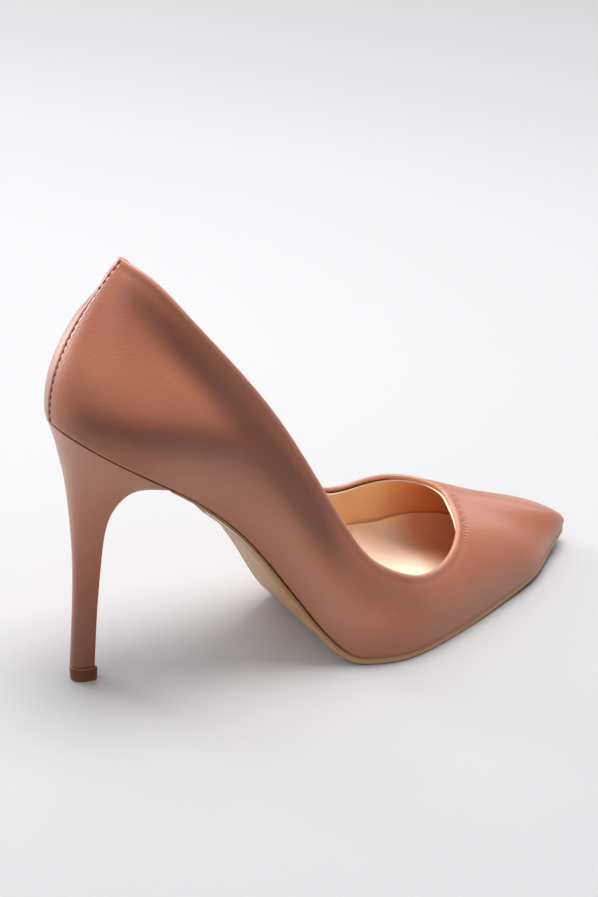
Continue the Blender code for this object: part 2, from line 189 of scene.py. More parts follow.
# %% Height of the feather line
Pitch = namedtuple("Pitch", "name along slope")
PITCHES = [
    Pitch("back", 0.0, -0.62),
    Pitch("heel lip", HEEL_LIP, -0.68),
    Pitch("shank", 26.3, -1.00),
    Pitch("waist", 33.6, -1.52),
    Pitch("steepest", 39.0, -1.56),
    Pitch("arch end", 42.7, -1.15),
    Pitch("ball", BALL_START, 0.0),
    Pitch("toe spring", 67.4, 0.0),
    Pitch("toe tip", 100.0, 0.16),
]
PLACES = np.linspace(0, 1.01 * LENGTH, 4000)
slopes = np.interp(PLACES / LENGTH * 100, [row.along for row in PITCHES], [row.slope for row in PITCHES])
heights = np.append(0, np.cumsum((slopes[1:] + slopes[:-1]) / 2 * np.diff(PLACES)))
heights -= np.interp(BALL_START / 100 * LENGTH, PLACES, heights)
back_rise = np.interp(BACK.foot_along / 100 * LENGTH, PLACES, heights)
heights[PLACES < BALL_START / 100 * LENGTH] *= (HEEL_HEIGHT - TREAD_HEIGHT) / back_rise


def sole_height(x, y):
    percent = x / LENGTH * 100
    lifted = ease(HEEL_LIP, WAIST_START, percent) * (1 - ease(WAIST_END, BALL_START, percent))
    inner = np.clip(0.5 + y / HEEL_WIDTH, 0, 1)
    return TREAD_HEIGHT + np.interp(x, PLACES, heights) + ARCH_LIFT * lifted * inner


def sole_normal(x, y):
    step = 0.5 * MM
    slope = (sole_height(x + step, y) - sole_height(x - step, y)) / (2 * step)
    steep = np.column_stack([-slope, np.zeros_like(slope), np.ones_like(slope)])
    return steep / np.hypot(slope, 1)[:, None]


print("heel seat at", round(float(sole_height(0.001, 0.0)) / MM, 1), "mm")

# %% [markdown]
# Each wall line is a Bezier curve. It leaves the feather line with its flare and arrives at the topline with
# its lean, so a whole wall can be read at any section and any share of its height.


# %% Rings of the last
def closed_knots(points):
    steps = np.linalg.norm(np.roll(points, -1, axis=0) - points, axis=1)
    return np.append(0, np.cumsum(steps))


def top_height(row):
    return row.top_rise / 100 * (HEEL_HEIGHT if row in QUARTERS else INSTEP_HEIGHT)


foot_points = np.array([[row.foot_along * LENGTH, row.foot_out * BALL_WIDTH] for row in WALL_LINES]) / 100
top_points = np.array([
    [row.top_along / 100 * LENGTH, row.top_out / 100 * BALL_WIDTH, top_height(row)] for row in WALL_LINES
])
foot_knots = closed_knots(np.column_stack([foot_points, sole_height(*foot_points.T)]))
top_knots = closed_knots(top_points)
shapes = np.array([[row.flare, row.lean, row.full] for row in WALL_LINES], float)

FEATHER = Curve(foot_knots, np.vstack([foot_points, foot_points[:1]]), closed=True)
TOPLINE = Curve(top_knots, np.vstack([top_points, top_points[:1]]), closed=True)
WALL_SHAPE = Curve(foot_knots, np.vstack([shapes, shapes[:1]]), closed=True)
FEATHER_PLACE = Curve(range(COUNT + 1), foot_knots)
TOPLINE_PLACE = Curve(range(COUNT + 1), top_knots)
print("feather line", round(foot_knots[-1] / MM), "mm round, topline", round(top_knots[-1] / MM), "mm")


# %% Walls of the last
def unit(vectors):
    return vectors / np.linalg.norm(vectors, axis=-1, keepdims=True)


def outside(ring, places):
    tangent = ring.direction(places)
    return unit(np.column_stack([-tangent[:, 1], tangent[:, 0], np.zeros(len(tangent))]))


def lean_out(chord, out, degrees):
    up = unit(chord - np.sum(chord * out, axis=1, keepdims=True) * out)
    turn = np.radians(degrees)[:, None]
    return np.cos(turn) * up + np.sin(turn) * out


def walls(sections, shares):
    """Points of the outer skin: sections round the shoe by shares of the height."""
    low, high = FEATHER_PLACE.at(sections)[:, 0], TOPLINE_PLACE.at(sections)[:, 0]
    foot = FEATHER.at(low)
    start = np.column_stack([foot, sole_height(foot[:, 0], foot[:, 1])])
    end = TOPLINE.at(high)
    flare, lean, full = WALL_SHAPE.at(low).T
    chord = end - start
    leave = lean_out(chord, outside(FEATHER, low), flare)
    arrive = lean_out(chord, outside(TOPLINE, high), -lean)
    reach = full[:, None] / 100
    first = start + reach * np.maximum(np.sum(chord * leave, axis=1, keepdims=True), 0) * leave
    second = end - reach * np.maximum(np.sum(chord * arrive, axis=1, keepdims=True), 0) * arrive
    t = np.asarray(shares)[None, :, None]
    start, first, second, end = (points[:, None, :] for points in (start, first, second, end))
    return (1 - t) ** 3 * start + 3 * (1 - t) ** 2 * t * first + 3 * (1 - t) * t**2 * second + t**3 * end


def skin_normals(points):
    """Outward normals of a grid of points that is closed round the shoe."""
    around = np.roll(points, -1, axis=0) - np.roll(points, 1, axis=0)
    upward = np.gradient(points, axis=1)
    return unit(np.cross(upward, around))


outline = walls(np.arange(0, COUNT, 0.05), np.linspace(0, 1, 40)).reshape(-1, 3)
MIDDLE = np.array([*(outline.min(axis=0) + outline.max(axis=0))[:2] / 2, 0])
print("middle of the last at", (MIDDLE / MM).round(2), "mm")

# %% [markdown]
# Meshes come from grids. One function turns rings of points into a closed tube or a closed slab, gives it a
# smooth finish and puts the shoe's middle at the origin. Values for the materials, such as how near a point
# lies to the fold, ride along as attributes.


# %% Grids to meshes
def grid_mesh(name, points, closed_round=True, values=None):
    """Quads over a grid [line, row] whose rows make a closed loop; the lines close round too, or get ends."""
    lines, rows = points.shape[:2]
    i, j = np.meshgrid(np.arange(lines if closed_round else lines - 1), np.arange(rows), indexing="ij")
    near, far, after = i * rows, (i + 1) % lines * rows, (j + 1) % rows
    faces = np.stack([near + j, near + after, far + after, far + j], axis=-1).reshape(-1, 4).tolist()
    if not closed_round:
        for first in (0, (lines - 1) * rows):
            last = first + rows - 1
            faces += [[first + k, first + k + 1, last - 1 - k, last - k] for k in range(rows // 2 - 1)]
    mesh = bpy.data.meshes.new(name)
    mesh.from_pydata((points - MIDDLE).reshape(-1, 3).tolist(), [], faces)
    for key, data in (values or {}).items():
        layer = mesh.attributes.new(key, "FLOAT", "POINT")
        layer.data.foreach_set("value", np.ascontiguousarray(data, np.float32).ravel())
    bm = bmesh.new()
    bm.from_mesh(mesh)
    bmesh.ops.remove_doubles(bm, verts=bm.verts, dist=1e-7)
    bmesh.ops.recalc_face_normals(bm, faces=bm.faces)
    if bm.calc_volume(signed=True) < 0:
        bmesh.ops.reverse_faces(bm, faces=bm.faces)
    bm.to_mesh(mesh)
    bm.free()
    mesh.shade_smooth()
    return mesh


def add_piece(name, mesh, material, node):
    """A finished piece: it rides with the shoe and stands for one solid of the frame, if one is named."""
    piece = bpy.data.objects.new(name, mesh)
    bpy.context.scene.collection.objects.link(piece)
    mesh.materials.clear()
    mesh.materials.append(material)
    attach(piece, "root")
    if node:
        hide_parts(node)
    print(name, sum(len(face.vertices) - 2 for face in mesh.polygons), "triangles")
    return piece


print("meshes are made round", MIDDLE.round(4))

# %% [markdown]
# All finishes are built from the same helpers: a colour picked as sRGB hex, one function that adds a node
# with its settings, values and links, a fresh material with its shader, and two tones in soft clouds, because
# no real surface is quite even. Values that are the same all over a surface, such as the coat, go straight to
# the shader's own sockets.


# %% Material helpers
def colour(code):
    """sRGB hex to the linear colour that a shader reads."""
    parts = [int(code[k : k + 2], 16) / 255 for k in (1, 3, 5)]
    return tuple(p / 12.92 if p <= 0.04045 else ((p + 0.055) / 1.055) ** 2.4 for p in parts) + (1.0,)


def add(tree, kind, settings=None, values=None, links=None):
    node = tree.nodes.new(kind)
    for key, value in (settings or {}).items():
        setattr(node, key, value)
    for key, value in (values or {}).items():
        node.inputs[key].default_value = value
    for key, socket in (links or {}).items():
        tree.links.new(socket, node.inputs[key])
    return node


def new_material(name, values):
    material = bpy.data.materials.new(name)
    material.use_nodes = True
    tree = material.node_tree
    shader = tree.nodes["Principled BSDF"]
    for key, value in values.items():
        shader.inputs[key].default_value = value
    return material, tree, shader


MIX_COLOURS = {"data_type": "RGBA"}  # sockets of such a mix: 0 is the share, 6 and 7 the colours


def cloudy(tree, dark, light, size, detail=2.0):
    """Two tones in soft clouds: the place on the object, the cloud and the tone."""
    place = add(tree, "ShaderNodeTexCoord").outputs["Object"]
    cloud = add(tree, "ShaderNodeTexNoise", {}, {"Scale": 1 / size, "Detail": detail}, {"Vector": place})
    cloud = cloud.outputs["Fac"]
    tone = add(tree, "ShaderNodeMix", MIX_COLOURS, {6: dark, 7: light}, {0: cloud}).outputs[2]
    return place, cloud, tone


print("middle grey is", round(colour("#808080")[0], 3), "in linear light")

# %% [markdown]
# The upper is smooth coated leather: embossed and plated, so it has a satin gloss and a fine grain. Its
# colour carries painted light and shade: a painted copper highlight over the stiffener, painted umber shade
# on the crest and below the topline, and painted pale light along the fold, on the lower quarter and above
# the foot. These zones are written on the mesh as two attributes, because they are tied to places on the
# shoe.
# Like an image wrapped round it, they carry the light of one room with them.

# %% Colours of the leather
# Copper is painted light, umber is painted shade and the pale rose is painted pale light.
ROSE = colour("#a8664a")
ROSE_DEEP = colour("#9e5d43")
ROSE_PAINTED_LIGHT = colour("#c99178")
COPPER_PAINTED_LIGHT = colour("#b56e4f")
UMBER_PAINTED_SHADE = colour("#7b4430")
PAINTED_PALE_STRENGTH = 0.45  # how far the painted pale light turns the leather to the pale rose
MOTTLE = 22 * MM


def leather_tone(tree, tone):
    """Cloudy rose, then copper for painted light, umber for painted shade and pale rose for painted pale
    light.
    """
    light_and_shade_share = add(tree, "ShaderNodeAttribute", {"attribute_name": "painted_light_and_shade"}).outputs["Fac"]
    tone = add(tree, "ShaderNodeMix", MIX_COLOURS, {7: COPPER_PAINTED_LIGHT}, {0: light_and_shade_share, 6: tone}).outputs[2]
    painted_shade_share = add(tree, "ShaderNodeMath", {"operation": "MULTIPLY"}, {1: -1.0}, {0: light_and_shade_share}).outputs[0]
    tone = add(tree, "ShaderNodeMix", MIX_COLOURS, {7: UMBER_PAINTED_SHADE}, {0: painted_shade_share, 6: tone}).outputs[2]
    painted_pale_light = add(tree, "ShaderNodeAttribute", {"attribute_name": "painted_pale_light"}).outputs["Fac"]
    pale = add(tree, "ShaderNodeMath", {"operation": "MULTIPLY"}, {1: PAINTED_PALE_STRENGTH}, {0: painted_pale_light}).outputs[0]
    return add(tree, "ShaderNodeMix", MIX_COLOURS, {7: ROSE_PAINTED_LIGHT}, {0: pale, 6: tone}).outputs[2]


print("rose is", [round(part, 3) for part in ROSE[:3]])

# %% Coated leather
GRAIN = 0.8 * MM  # coarser than the real grain of about half a millimetre, so that it shows at this distance
GRAIN_DEPTH = 0.14 * MM
SATIN = {"To Min": 0.34, "To Max": 0.44}  # roughness
PLATED = {"Coat Weight": 0.3, "Coat Roughness": 0.2, "Specular IOR Level": 0.4}  # the pressed coat's gloss


def coated_leather(name):
    material, tree, shader = new_material(name, PLATED)
    place, cloud, tone = cloudy(tree, ROSE_DEEP, ROSE, MOTTLE, 3.0)
    tree.links.new(leather_tone(tree, tone), shader.inputs["Base Color"])
    gloss = add(tree, "ShaderNodeMapRange", {}, SATIN, {"Value": cloud})
    tree.links.new(gloss.outputs["Result"], shader.inputs["Roughness"])
    cells = add(tree, "ShaderNodeTexVoronoi", {}, {"Scale": 1 / GRAIN}, {"Vector": place})
    fine = add(tree, "ShaderNodeTexNoise", {}, {"Scale": 2.2 / GRAIN, "Detail": 2.0}, {"Vector": place})
    both = {0: cells.outputs["Distance"], 1: fine.outputs["Fac"]}
    height = add(tree, "ShaderNodeMath", {"operation": "ADD"}, {}, both).outputs[0]
    depth = {"Strength": 0.5, "Distance": GRAIN_DEPTH}
    bump = add(tree, "ShaderNodeBump", {}, depth, {"Height": height})
    tree.links.new(bump.outputs["Normal"], shader.inputs["Normal"])
    return material


ROSE_LEATHER = coated_leather("coated_leather_rose")
HEEL_LEATHER = coated_leather("coated_leather_heel_cover")
print("leather grain", GRAIN / MM, "mm")

# %% [markdown]
# Lining and sock are thin lining leather: uncoated, so it is duller, with a soft nap and a faint cloudiness.
# Towards the toe it is painted a shaded, deeper tan, and its cut edge is pale. Both zones are attributes on
# the mesh.

# %% Lining leather
LINING_TAN = colour("#e4b283")
# The deeper tan is painted shade, in the toe box and by the sock's inner wall.
LINING_PAINTED_SHADE = colour("#b8581c")
CUT_EDGE = colour("#f3dab8")
SOCK_CREAM = colour("#f9ecd5")
NAP, NAP_DEPTH = 0.6 * MM, 0.05 * MM


def lining_leather(name, tint, cloud_size, roughness):
    material, tree, shader = new_material(name, {"Specular IOR Level": 0.35, "Roughness": roughness})
    deeper = tuple(0.9 * part for part in tint[:3]) + (1.0,)
    place, _, tone = cloudy(tree, deeper, tint, cloud_size, 4.0)
    for attribute, shade in (("painted_shade", LINING_PAINTED_SHADE), ("edge", CUT_EDGE)):
        share = add(tree, "ShaderNodeAttribute", {"attribute_name": attribute}).outputs["Fac"]
        tone = add(tree, "ShaderNodeMix", MIX_COLOURS, {7: shade}, {0: share, 6: tone}).outputs[2]
    tree.links.new(tone, shader.inputs["Base Color"])
    nap = add(tree, "ShaderNodeTexNoise", {}, {"Scale": 1 / NAP, "Detail": 3.0}, {"Vector": place})
    depth = {"Strength": 0.12, "Distance": NAP_DEPTH}
    bump = add(tree, "ShaderNodeBump", {}, depth, {"Height": nap.outputs["Fac"]})
    tree.links.new(bump.outputs["Normal"], shader.inputs["Normal"])
    return material


LINING_LEATHER = lining_leather("lining_leather_tan", LINING_TAN, 18 * MM, 0.52)
SOCK_LEATHER = lining_leather("sock_leather_cream", SOCK_CREAM, 26 * MM, 0.48)
print("sock cream", [round(part, 2) for part in SOCK_CREAM[:3]])

# %% [markdown]
# The sole is a thin moulded sheet, beige all through, with a fine cloud in it and a painted highlight along
# its edge at the waist. The lift is hard moulded rubber, dark brown, a little lighter on its edges.

# %% Sole sheet and lift rubber
BEIGE = colour("#bd9168")
BEIGE_DEEP = colour("#ab7f55")
# The sole's edge at the waist gets a near-white painted highlight.
SOLE_EDGE_HIGHLIGHT = colour("#fff6e6")
LIFT_BROWN = colour("#5f3412")
LIFT_LIGHTER_EDGE = colour("#8f5c2a")
MOULD_DEPTH = 0.08 * MM


def moulded_sheet(name, dark, light, worn, cloud_size, roughness):
    material, tree, shader = new_material(name, {"Specular IOR Level": 0.4, "Roughness": roughness})
    _, cloud, tone = cloudy(tree, dark, light, cloud_size, 5.0)
    edge = add(tree, "ShaderNodeAttribute", {"attribute_name": "edge"}).outputs["Fac"]
    paler = add(tree, "ShaderNodeMix", MIX_COLOURS, {7: worn}, {0: edge, 6: tone})
    tree.links.new(paler.outputs[2], shader.inputs["Base Color"])
    depth = {"Strength": 0.1, "Distance": MOULD_DEPTH}
    bump = add(tree, "ShaderNodeBump", {}, depth, {"Height": cloud})
    tree.links.new(bump.outputs["Normal"], shader.inputs["Normal"])
    return material


SOLE_SHEET = moulded_sheet("moulded_sole_sheet_beige", BEIGE_DEEP, BEIGE, SOLE_EDGE_HIGHLIGHT, 3 * MM, 0.46)
LIFT_RUBBER = moulded_sheet("moulded_lift_rubber_brown", LIFT_BROWN, LIFT_BROWN, LIFT_LIGHTER_EDGE, 1 * MM, 0.42)
print("sole and lift finishes are made")

# %% [markdown]
# The upper's skin is wrapped over the last. It is read as columns round the shoe, close together at the back
# seam and wider elsewhere, each with its points, its normals and the way up along the leather. Every layer of
# the upper is then read from this one skin, at a height and a distance inwards.

# %% Skin of the last
Skin = namedtuple("Skin", "sections points normals up length")
ROUND_STEP, SEAM_STEP = 1 / 26, 1 / 110  # columns of the skin, as shares of a section
SEAM_REACH = 0.3
SKIN_ROWS = 140


def way_up(points):
    """Distance along the wall lines from their feet."""
    steps = np.linalg.norm(np.diff(points, axis=1), axis=2)
    return np.concatenate([np.zeros((len(points), 1)), np.cumsum(steps, axis=1)], axis=1)


def make_skin(sections, rows):
    points = walls(sections, np.linspace(0, 1, rows))
    up = way_up(points)
    return Skin(sections, points, skin_normals(points), up, up[:, -1:])


def read_skin(skin, up, inset):
    """Points at heights along the wall lines [column, row], moved inwards from the skin."""
    up = np.broadcast_to(up, (len(skin.sections), np.shape(up)[-1]))
    inset = np.broadcast_to(inset, up.shape)
    found = np.empty((*up.shape, 3))
    for k in range(len(skin.sections)):
        for axis in range(3):
            found[k, :, axis] = np.interp(up[k], skin.up[k], skin.points[k, :, axis])
            found[k, :, axis] -= inset[k] * np.interp(up[k], skin.up[k], skin.normals[k, :, axis])
    return found


round_sections = np.arange(0, COUNT, ROUND_STEP)
seam_sections = np.arange(BACK_LINE - SEAM_REACH, BACK_LINE + SEAM_REACH, SEAM_STEP)
round_sections = round_sections[np.abs(round_sections - BACK_LINE) > SEAM_REACH]
SKIN = make_skin(np.sort(np.concatenate([round_sections, seam_sections])), SKIN_ROWS)
shortest, longest = (SKIN.length.min() / MM).round(), (SKIN.length.max() / MM).round()
print("skin of", len(SKIN.sections), "columns, walls", shortest, "to", longest, "mm high")

# %% [markdown]
# What a hand would feel on the real shoe is added as small heights along the skin's normal: the rolled fold
# and the groove below it, a soft trough where the edge is drawn in, the fullness over the stiffener at the
# heel, and fine puckers round the throat, where a curve is folded. Sculpting could do this too, but heights
# written as formulas stay where they belong when a size changes.

# %% Reliefs of the skin
Relief = namedtuple("Relief", "name height place width")  # millimetres, plus is outwards
ROLL = Relief("rolled edge, below the topline", 0.20, 1.2, 1.0)
ROLL_GROOVE = Relief("groove under the roll", -0.16, 3.6, 1.2)
TROUGH = Relief("drawn-in trough", -2.0, 14.0, 7.0)
PUCKERS = Relief("puckers at the throat", 0.16, 3.9, 1.5)
FOOT_EDGE = Relief("edge over the sole, above the feather line", 0.10, 2.4, 1.2)
FULLNESS = Relief("fullness over the stiffener, from its crest", 1.8, 0.0, 9.0)
TURN_UNDER, TURN_UNDER_HEIGHT = 0.35, 0.6  # the foot of the leather turns in under the shoe
TROUGH_STARTS, TROUGH_ENDS = (48, 85), (10, 34)  # mm along the topline, from the throat and from the back
PUCKERS_END = (20, 42)
Wave = namedtuple("Wave", "share pitch slant shift")
PUCKER_WAVES = [Wave(1.0, 1.6, 6.0, 0.0), Wave(0.6, 2.7, -9.0, 1.0)]  # millimetres along and down
FULL_STARTS, FULL_ENDS = (0.8, 2.2), (3.6, 8.5)  # wall lines from the back
CREST_LINES = [0, 1, 2, 3, 3.7, 5]
CREST_HEIGHTS = [7, 9.5, 14, 21, 26, 27]  # the crest of the fullness above the feather line


def hump(relief, value):
    return relief.height * swell(value, relief.place, relief.width)


def rim_place(sections):
    """Distance along the topline from the middle of the throat in millimetres, plus on the outer side."""
    places = TOPLINE_PLACE.at(sections)[:, 0]
    return np.where(places > top_knots[BACK_LINE], places - top_knots[-1], places)[:, None] / MM


def counter_crest(skin):
    """Wall lines counted from the back, and the height of the fullest place of the quarter on each."""
    lines = np.abs(skin.sections - BACK_LINE)[:, None]
    return lines, np.interp(lines, CREST_LINES, CREST_HEIGHTS)


print("the trough is", -TROUGH.height, "mm deep, the fullness", FULLNESS.height, "mm high")


# %% Heights on the skin
def skin_height(skin, up):
    """How far the leather stands out from the last, in metres."""
    above, below = up / MM, (skin.length - up) / MM
    rim = rim_place(skin.sections)
    away = np.abs(rim)
    from_back = top_knots[BACK_LINE] / MM - away
    lines, crest = counter_crest(skin)
    roll = hump(ROLL, below) + hump(ROLL_GROOVE, below)
    drawn_in = hump(TROUGH, below) * ease(*TROUGH_STARTS, away) * ease(*TROUGH_ENDS, from_back)
    full = hump(FULLNESS, above - crest) * ease(*FULL_STARTS, lines) * (1 - ease(*FULL_ENDS, lines))
    turns = [2 * np.pi * (rim / wave.pitch + below / wave.slant) + wave.shift for wave in PUCKER_WAVES]
    waves = sum(wave.share * np.sin(turn) for wave, turn in zip(PUCKER_WAVES, turns))
    puckers = waves * hump(PUCKERS, below) * (1 - ease(*PUCKERS_END, away))
    turned = -TURN_UNDER * np.clip(1 - above / TURN_UNDER_HEIGHT, 0, 1) ** 2
    return (roll + drawn_in + full + puckers + turned + hump(FOOT_EDGE, above)) * MM


def hollow(skin, up):
    """How far the leather lies inside the last, so that the layers behind it can give way."""
    return np.maximum(-skin_height(skin, up), 0)


waist_up = 0.75 * SKIN.length
print("deepest hollow at three quarters of the height", (hollow(SKIN, waist_up).max() / MM).round(2), "mm")

# %% [markdown]
# The two quarters are joined by a closed seam at the back. Seen from behind it is a fine groove that runs a
# little to the inner side at its foot, with a dimple at each stitch.

# %% Back seam
SEAM_PITCH = 2.6 * MM
SEAM_TOP, SEAM_FOOT = -0.5 * MM, 1.3 * MM  # how far the stitches lie to the inner side of the back line
SEAM_GROOVE = Relief("groove", -0.2, 0.0, 0.5)  # places across the seam, plus on the inner side
SEAM_OUTER = Relief("outer lip", 0.04, -1.0, 0.5)
SEAM_INNER = Relief("inner lip", 0.2, 1.5, 0.8)
STITCH_DIMPLE = Relief("dimple", -0.14, 0.0, 0.6)
SEAM_REGION = 0.2 * LENGTH  # only the back of the shoe has the seam


def seam_line(share):
    """Place of the stitches across the back, at shares of its height."""
    return SEAM_FOOT + (SEAM_TOP - SEAM_FOOT) * share


def seam_height(skin, up):
    """The groove between the two quarters at the back, and a dimple at each stitch."""
    place = read_skin(skin, up, 0.0)
    side = np.where(place[:, :, 0] < SEAM_REGION, place[:, :, 1], LENGTH) / MM
    side = side - seam_line(up / skin.length) / MM
    groove = hump(SEAM_GROOVE, side) + hump(SEAM_OUTER, side) + hump(SEAM_INNER, side)
    beat = 0.5 + 0.5 * np.cos(2 * np.pi * up / SEAM_PITCH)
    return (groove + hump(STITCH_DIMPLE, side) * beat**3) * MM


print("stitches every", SEAM_PITCH / MM, "mm")

# %% [markdown]
# The painted light and shade on the leather follow the same lines as its shape. Each zone is soft across its
# centre and starts and ends at wall lines counted from the back, so a change of the last takes the colours
# along.

# %% Zones of painted light and shade
Zone = namedtuple("Zone", "name centre width starts ends")  # millimetres across, wall lines along
# Painted shade on the crest and below the topline, painted light above the crest, painted pale light of the
# floor below it.
CREST_SHADE = Zone("deep on the crest", 0, 7.0, (0.3, 1.0), (5.0, 6.5))
RIM_SHADE = Zone("deep below the topline", 9.0, 6.5, (0.3, 1.2), (2.6, 6.4))
PAINTED_LIGHT_ZONE = Zone("bright above the crest", 18, 11.0, (-2.0, -1.0), (2.4, 3.6))
PAINTED_BOUNCE_ZONE = Zone("painted_pale below the crest", -16, 10.0, (1.8, 3.0), (5.8, 8.2))
RIM_SHADE_SHARE = 0.9
PAINTED_LIGHT_TOP = (10, 22)  # mm below the topline, where the painted light runs out
FOOT_HIGHLIGHT_HEIGHT, FOOT_HIGHLIGHT_END = (0.3, 1.1), (3.0, 3.6)  # a painted highlight on the foot edge over the heel


def zone(row, value, lines):
    return swell(value, row.centre, row.width) * ease(*row.starts, lines) * (1 - ease(*row.ends, lines))


def painted_light_and_shade(skin, up):
    """Painted light, plus, and painted shade, minus; then where pale light of the floor and of the foot edge
    is painted.
    """
    above, below = up / MM, (skin.length - up) / MM
    lines, crest = counter_crest(skin)
    painted_shade = zone(CREST_SHADE, above - crest, lines) + RIM_SHADE_SHARE * zone(RIM_SHADE, below, lines)
    bright = zone(PAINTED_LIGHT_ZONE, above - crest, lines) * ease(*PAINTED_LIGHT_TOP, below)
    painted_bounce = zone(PAINTED_BOUNCE_ZONE, above - crest, lines)
    painted_foot_highlight = (1 - ease(*FOOT_HIGHLIGHT_HEIGHT, above)) * (1 - ease(*FOOT_HIGHLIGHT_END, lines))
    return bright - painted_shade, np.maximum(painted_bounce, painted_foot_highlight)


print("zones:", ", ".join(row.name for row in (CREST_SHADE, RIM_SHADE, PAINTED_LIGHT_ZONE, PAINTED_BOUNCE_ZONE)))

# %% [markdown]
# The section of the leather is one closed loop for each wall line: up the outside, over the fold, down the
# inside behind the lining and back to the foot. A Solidify modifier would give a wall too, but not a fold
# that is thicker than the leather itself. Round the throat the fold stops a little early, so that the edge
# of the lining shows there as well.

# %% Outside of the leather
FOLD = 0.85 * MM  # radius of the rolled topline
OUTER_ROWS = 62
THROAT_STEP = 0.8 * MM  # round the throat the fold stops this far before the topline
THROAT_INNER, THROAT_OUTER = (-24, 2), (14, 40)  # mm along the topline from the middle of the throat
EVEN_PART = 0.4  # the rows lie closer at foot and top than even ones

even = np.linspace(0, 1, OUTER_ROWS)
row_shares = EVEN_PART * even + (1 - EVEN_PART) * (0.5 - 0.5 * np.cos(np.pi * even))
rim = rim_place(SKIN.sections)
throat = ease(*THROAT_INNER, rim) * (1 - ease(*THROAT_OUTER, rim))
leather_end = SKIN.length - THROAT_STEP * throat
outer_up = (leather_end - FOLD) * row_shares
outer_height = skin_height(SKIN, outer_up) + seam_height(SKIN, outer_up)
print("leather stands out by", (outer_height.max() / MM).round(2), "mm at most")

# %% Folded upper
LEATHER = 1.0 * MM
FOLD_DEPTH = 6.0 * MM  # how far the folded edge reaches down inside
FOLD_GROOVE = 1.1 * MM  # under the roll the edge lies back, which leaves a dark groove above the lining
FOLD_TURNS = [20, 45, 70, 90, 110, 135, 160, 180]  # degrees over the roll
INSIDE_SHARES = np.array([0.22, 0.5, 1.0])  # rows of the inside, as shares of the fold's depth
BEHIND_SHARES = np.array([0.95, 0.9, 0.8, 0.7, 0.6, 0.4, 0.2, 0.0])  # rows behind the lining
FOLD_HIGHLIGHT = (0.6, 2.6)  # mm below the topline, where the painted highlight of the fold runs out
PAINTED_BOUNCE_SHARE = 0.8

fold_centre = read_skin(SKIN, leather_end - FOLD, FOLD)[:, 0]
fold_out = unit(read_skin(SKIN, leather_end - FOLD, 0.0)[:, 0] - fold_centre)
fold_up = unit(SKIN.points[:, -1] - SKIN.points[:, -2])
fold_rows = []
for turn in np.radians(FOLD_TURNS):
    wide = FOLD + outer_height[:, -1:] * max(math.cos(turn), 0)
    fold_rows.append(fold_centre + math.cos(turn) * wide * fold_out + math.sin(turn) * FOLD * fold_up)
inside_up = leather_end - INSIDE_SHARES * FOLD_DEPTH
inside_inset = np.array([FOLD_GROOVE, FOLD_GROOVE, LEATHER])
behind_up = (SKIN.length - FOLD_DEPTH) * BEHIND_SHARES
leather_points = np.concatenate([
    read_skin(SKIN, outer_up, -outer_height),
    np.stack(fold_rows, axis=1),
    read_skin(SKIN, inside_up, inside_inset + hollow(SKIN, inside_up)),
    read_skin(SKIN, behind_up, LEATHER + hollow(SKIN, behind_up)),
], axis=1)
# The fold gets a painted highlight, the quarter painted light and shade, and pale floor light is painted
# below the crest.
below_top = np.zeros(leather_points.shape[:2])
below_top[:, :OUTER_ROWS] = (SKIN.length - outer_up) / MM
painted_pale_share = 1 - ease(*FOLD_HIGHLIGHT, below_top)
light_and_shade_share = np.zeros_like(painted_pale_share)
light_and_shade_share[:, :OUTER_ROWS], painted_bounce = painted_light_and_shade(SKIN, outer_up)
painted_pale_share[:, :OUTER_ROWS] = np.maximum(painted_pale_share[:, :OUTER_ROWS], PAINTED_BOUNCE_SHARE * painted_bounce)
upper_mesh = grid_mesh("upper_leather", leather_points, values={"painted_pale_light": painted_pale_share, "painted_light_and_shade": light_and_shade_share})
add_piece("upper_leather", upper_mesh, ROSE_LEATHER, "upper")

# %% [markdown]
# The lining is a thin sheet that is stitched to the inside of the fold. Its cut edge lies just below the roll
# and shows as a fine pale line with a shadow above it.

# %% Lining
LINING = 0.55 * MM
LINING_TOP = 1.9 * MM  # below the topline, and almost level with it at the throat
THROAT_SHARE = 0.82
EDGE_SHARE = 0.75  # the cut edge is pressed thinner
# Towards the toe the lining gets painted shade, a deeper tan.
TOE_DEEP, TOE_DEEP_SIDE = (40, 62), 0.2  # mm in front of the middle, and how far this turns to the inner side
TOE_SHARE = 0.8
LINING_GAP = 0.03 * MM
LINING_FOOT = 0.01  # share of the height, just above the feather line
FACE_ROWS, BACK_ROWS = 52, 12

lining_inset = 2 * FOLD + LINING_GAP


def toe_shade(points):
    """Share of the painted shade, a deeper tan, which grows to the toe and to the inner side."""
    along, side, _ = np.moveaxis((points - MIDDLE) / MM, 2, 0)
    return TOE_SHARE * ease(*TOE_DEEP, along + TOE_DEEP_SIDE * side)


lining_end = SKIN.length - LINING_TOP * (1 - THROAT_SHARE * throat)
face_up = lining_end * np.linspace(1, LINING_FOOT, FACE_ROWS)
back_up = lining_end * np.append(np.linspace(LINING_FOOT, 0.95, BACK_ROWS), 0.998)
face_inset = lining_inset + LINING * np.where(face_up > lining_end - 0.1 * MM, EDGE_SHARE, 1.0)
lining_points = np.concatenate([
    read_skin(SKIN, face_up, face_inset + hollow(SKIN, face_up)),
    read_skin(SKIN, back_up, lining_inset + hollow(SKIN, back_up)),
], axis=1)
cut_edge = np.zeros(lining_points.shape[:2])
cut_edge[:, [0, -1]] = 1
lining_mesh = grid_mesh("lining", lining_points, values={"edge": cut_edge, "painted_shade": toe_shade(lining_points)})
add_piece("lining", lining_mesh, LINING_LEATHER, None)

# %% [markdown]
# The sock lies on the insole board and covers it. Its edge is turned up along the walls: only a little at the
# heel and on the outer side, and well up the inner wall under the ball, where its edge shows as a dark line.
# Its sections run from wall to wall, so first each station along the shoe needs the two wall lines, outer and
# inner, whose feet lie there.

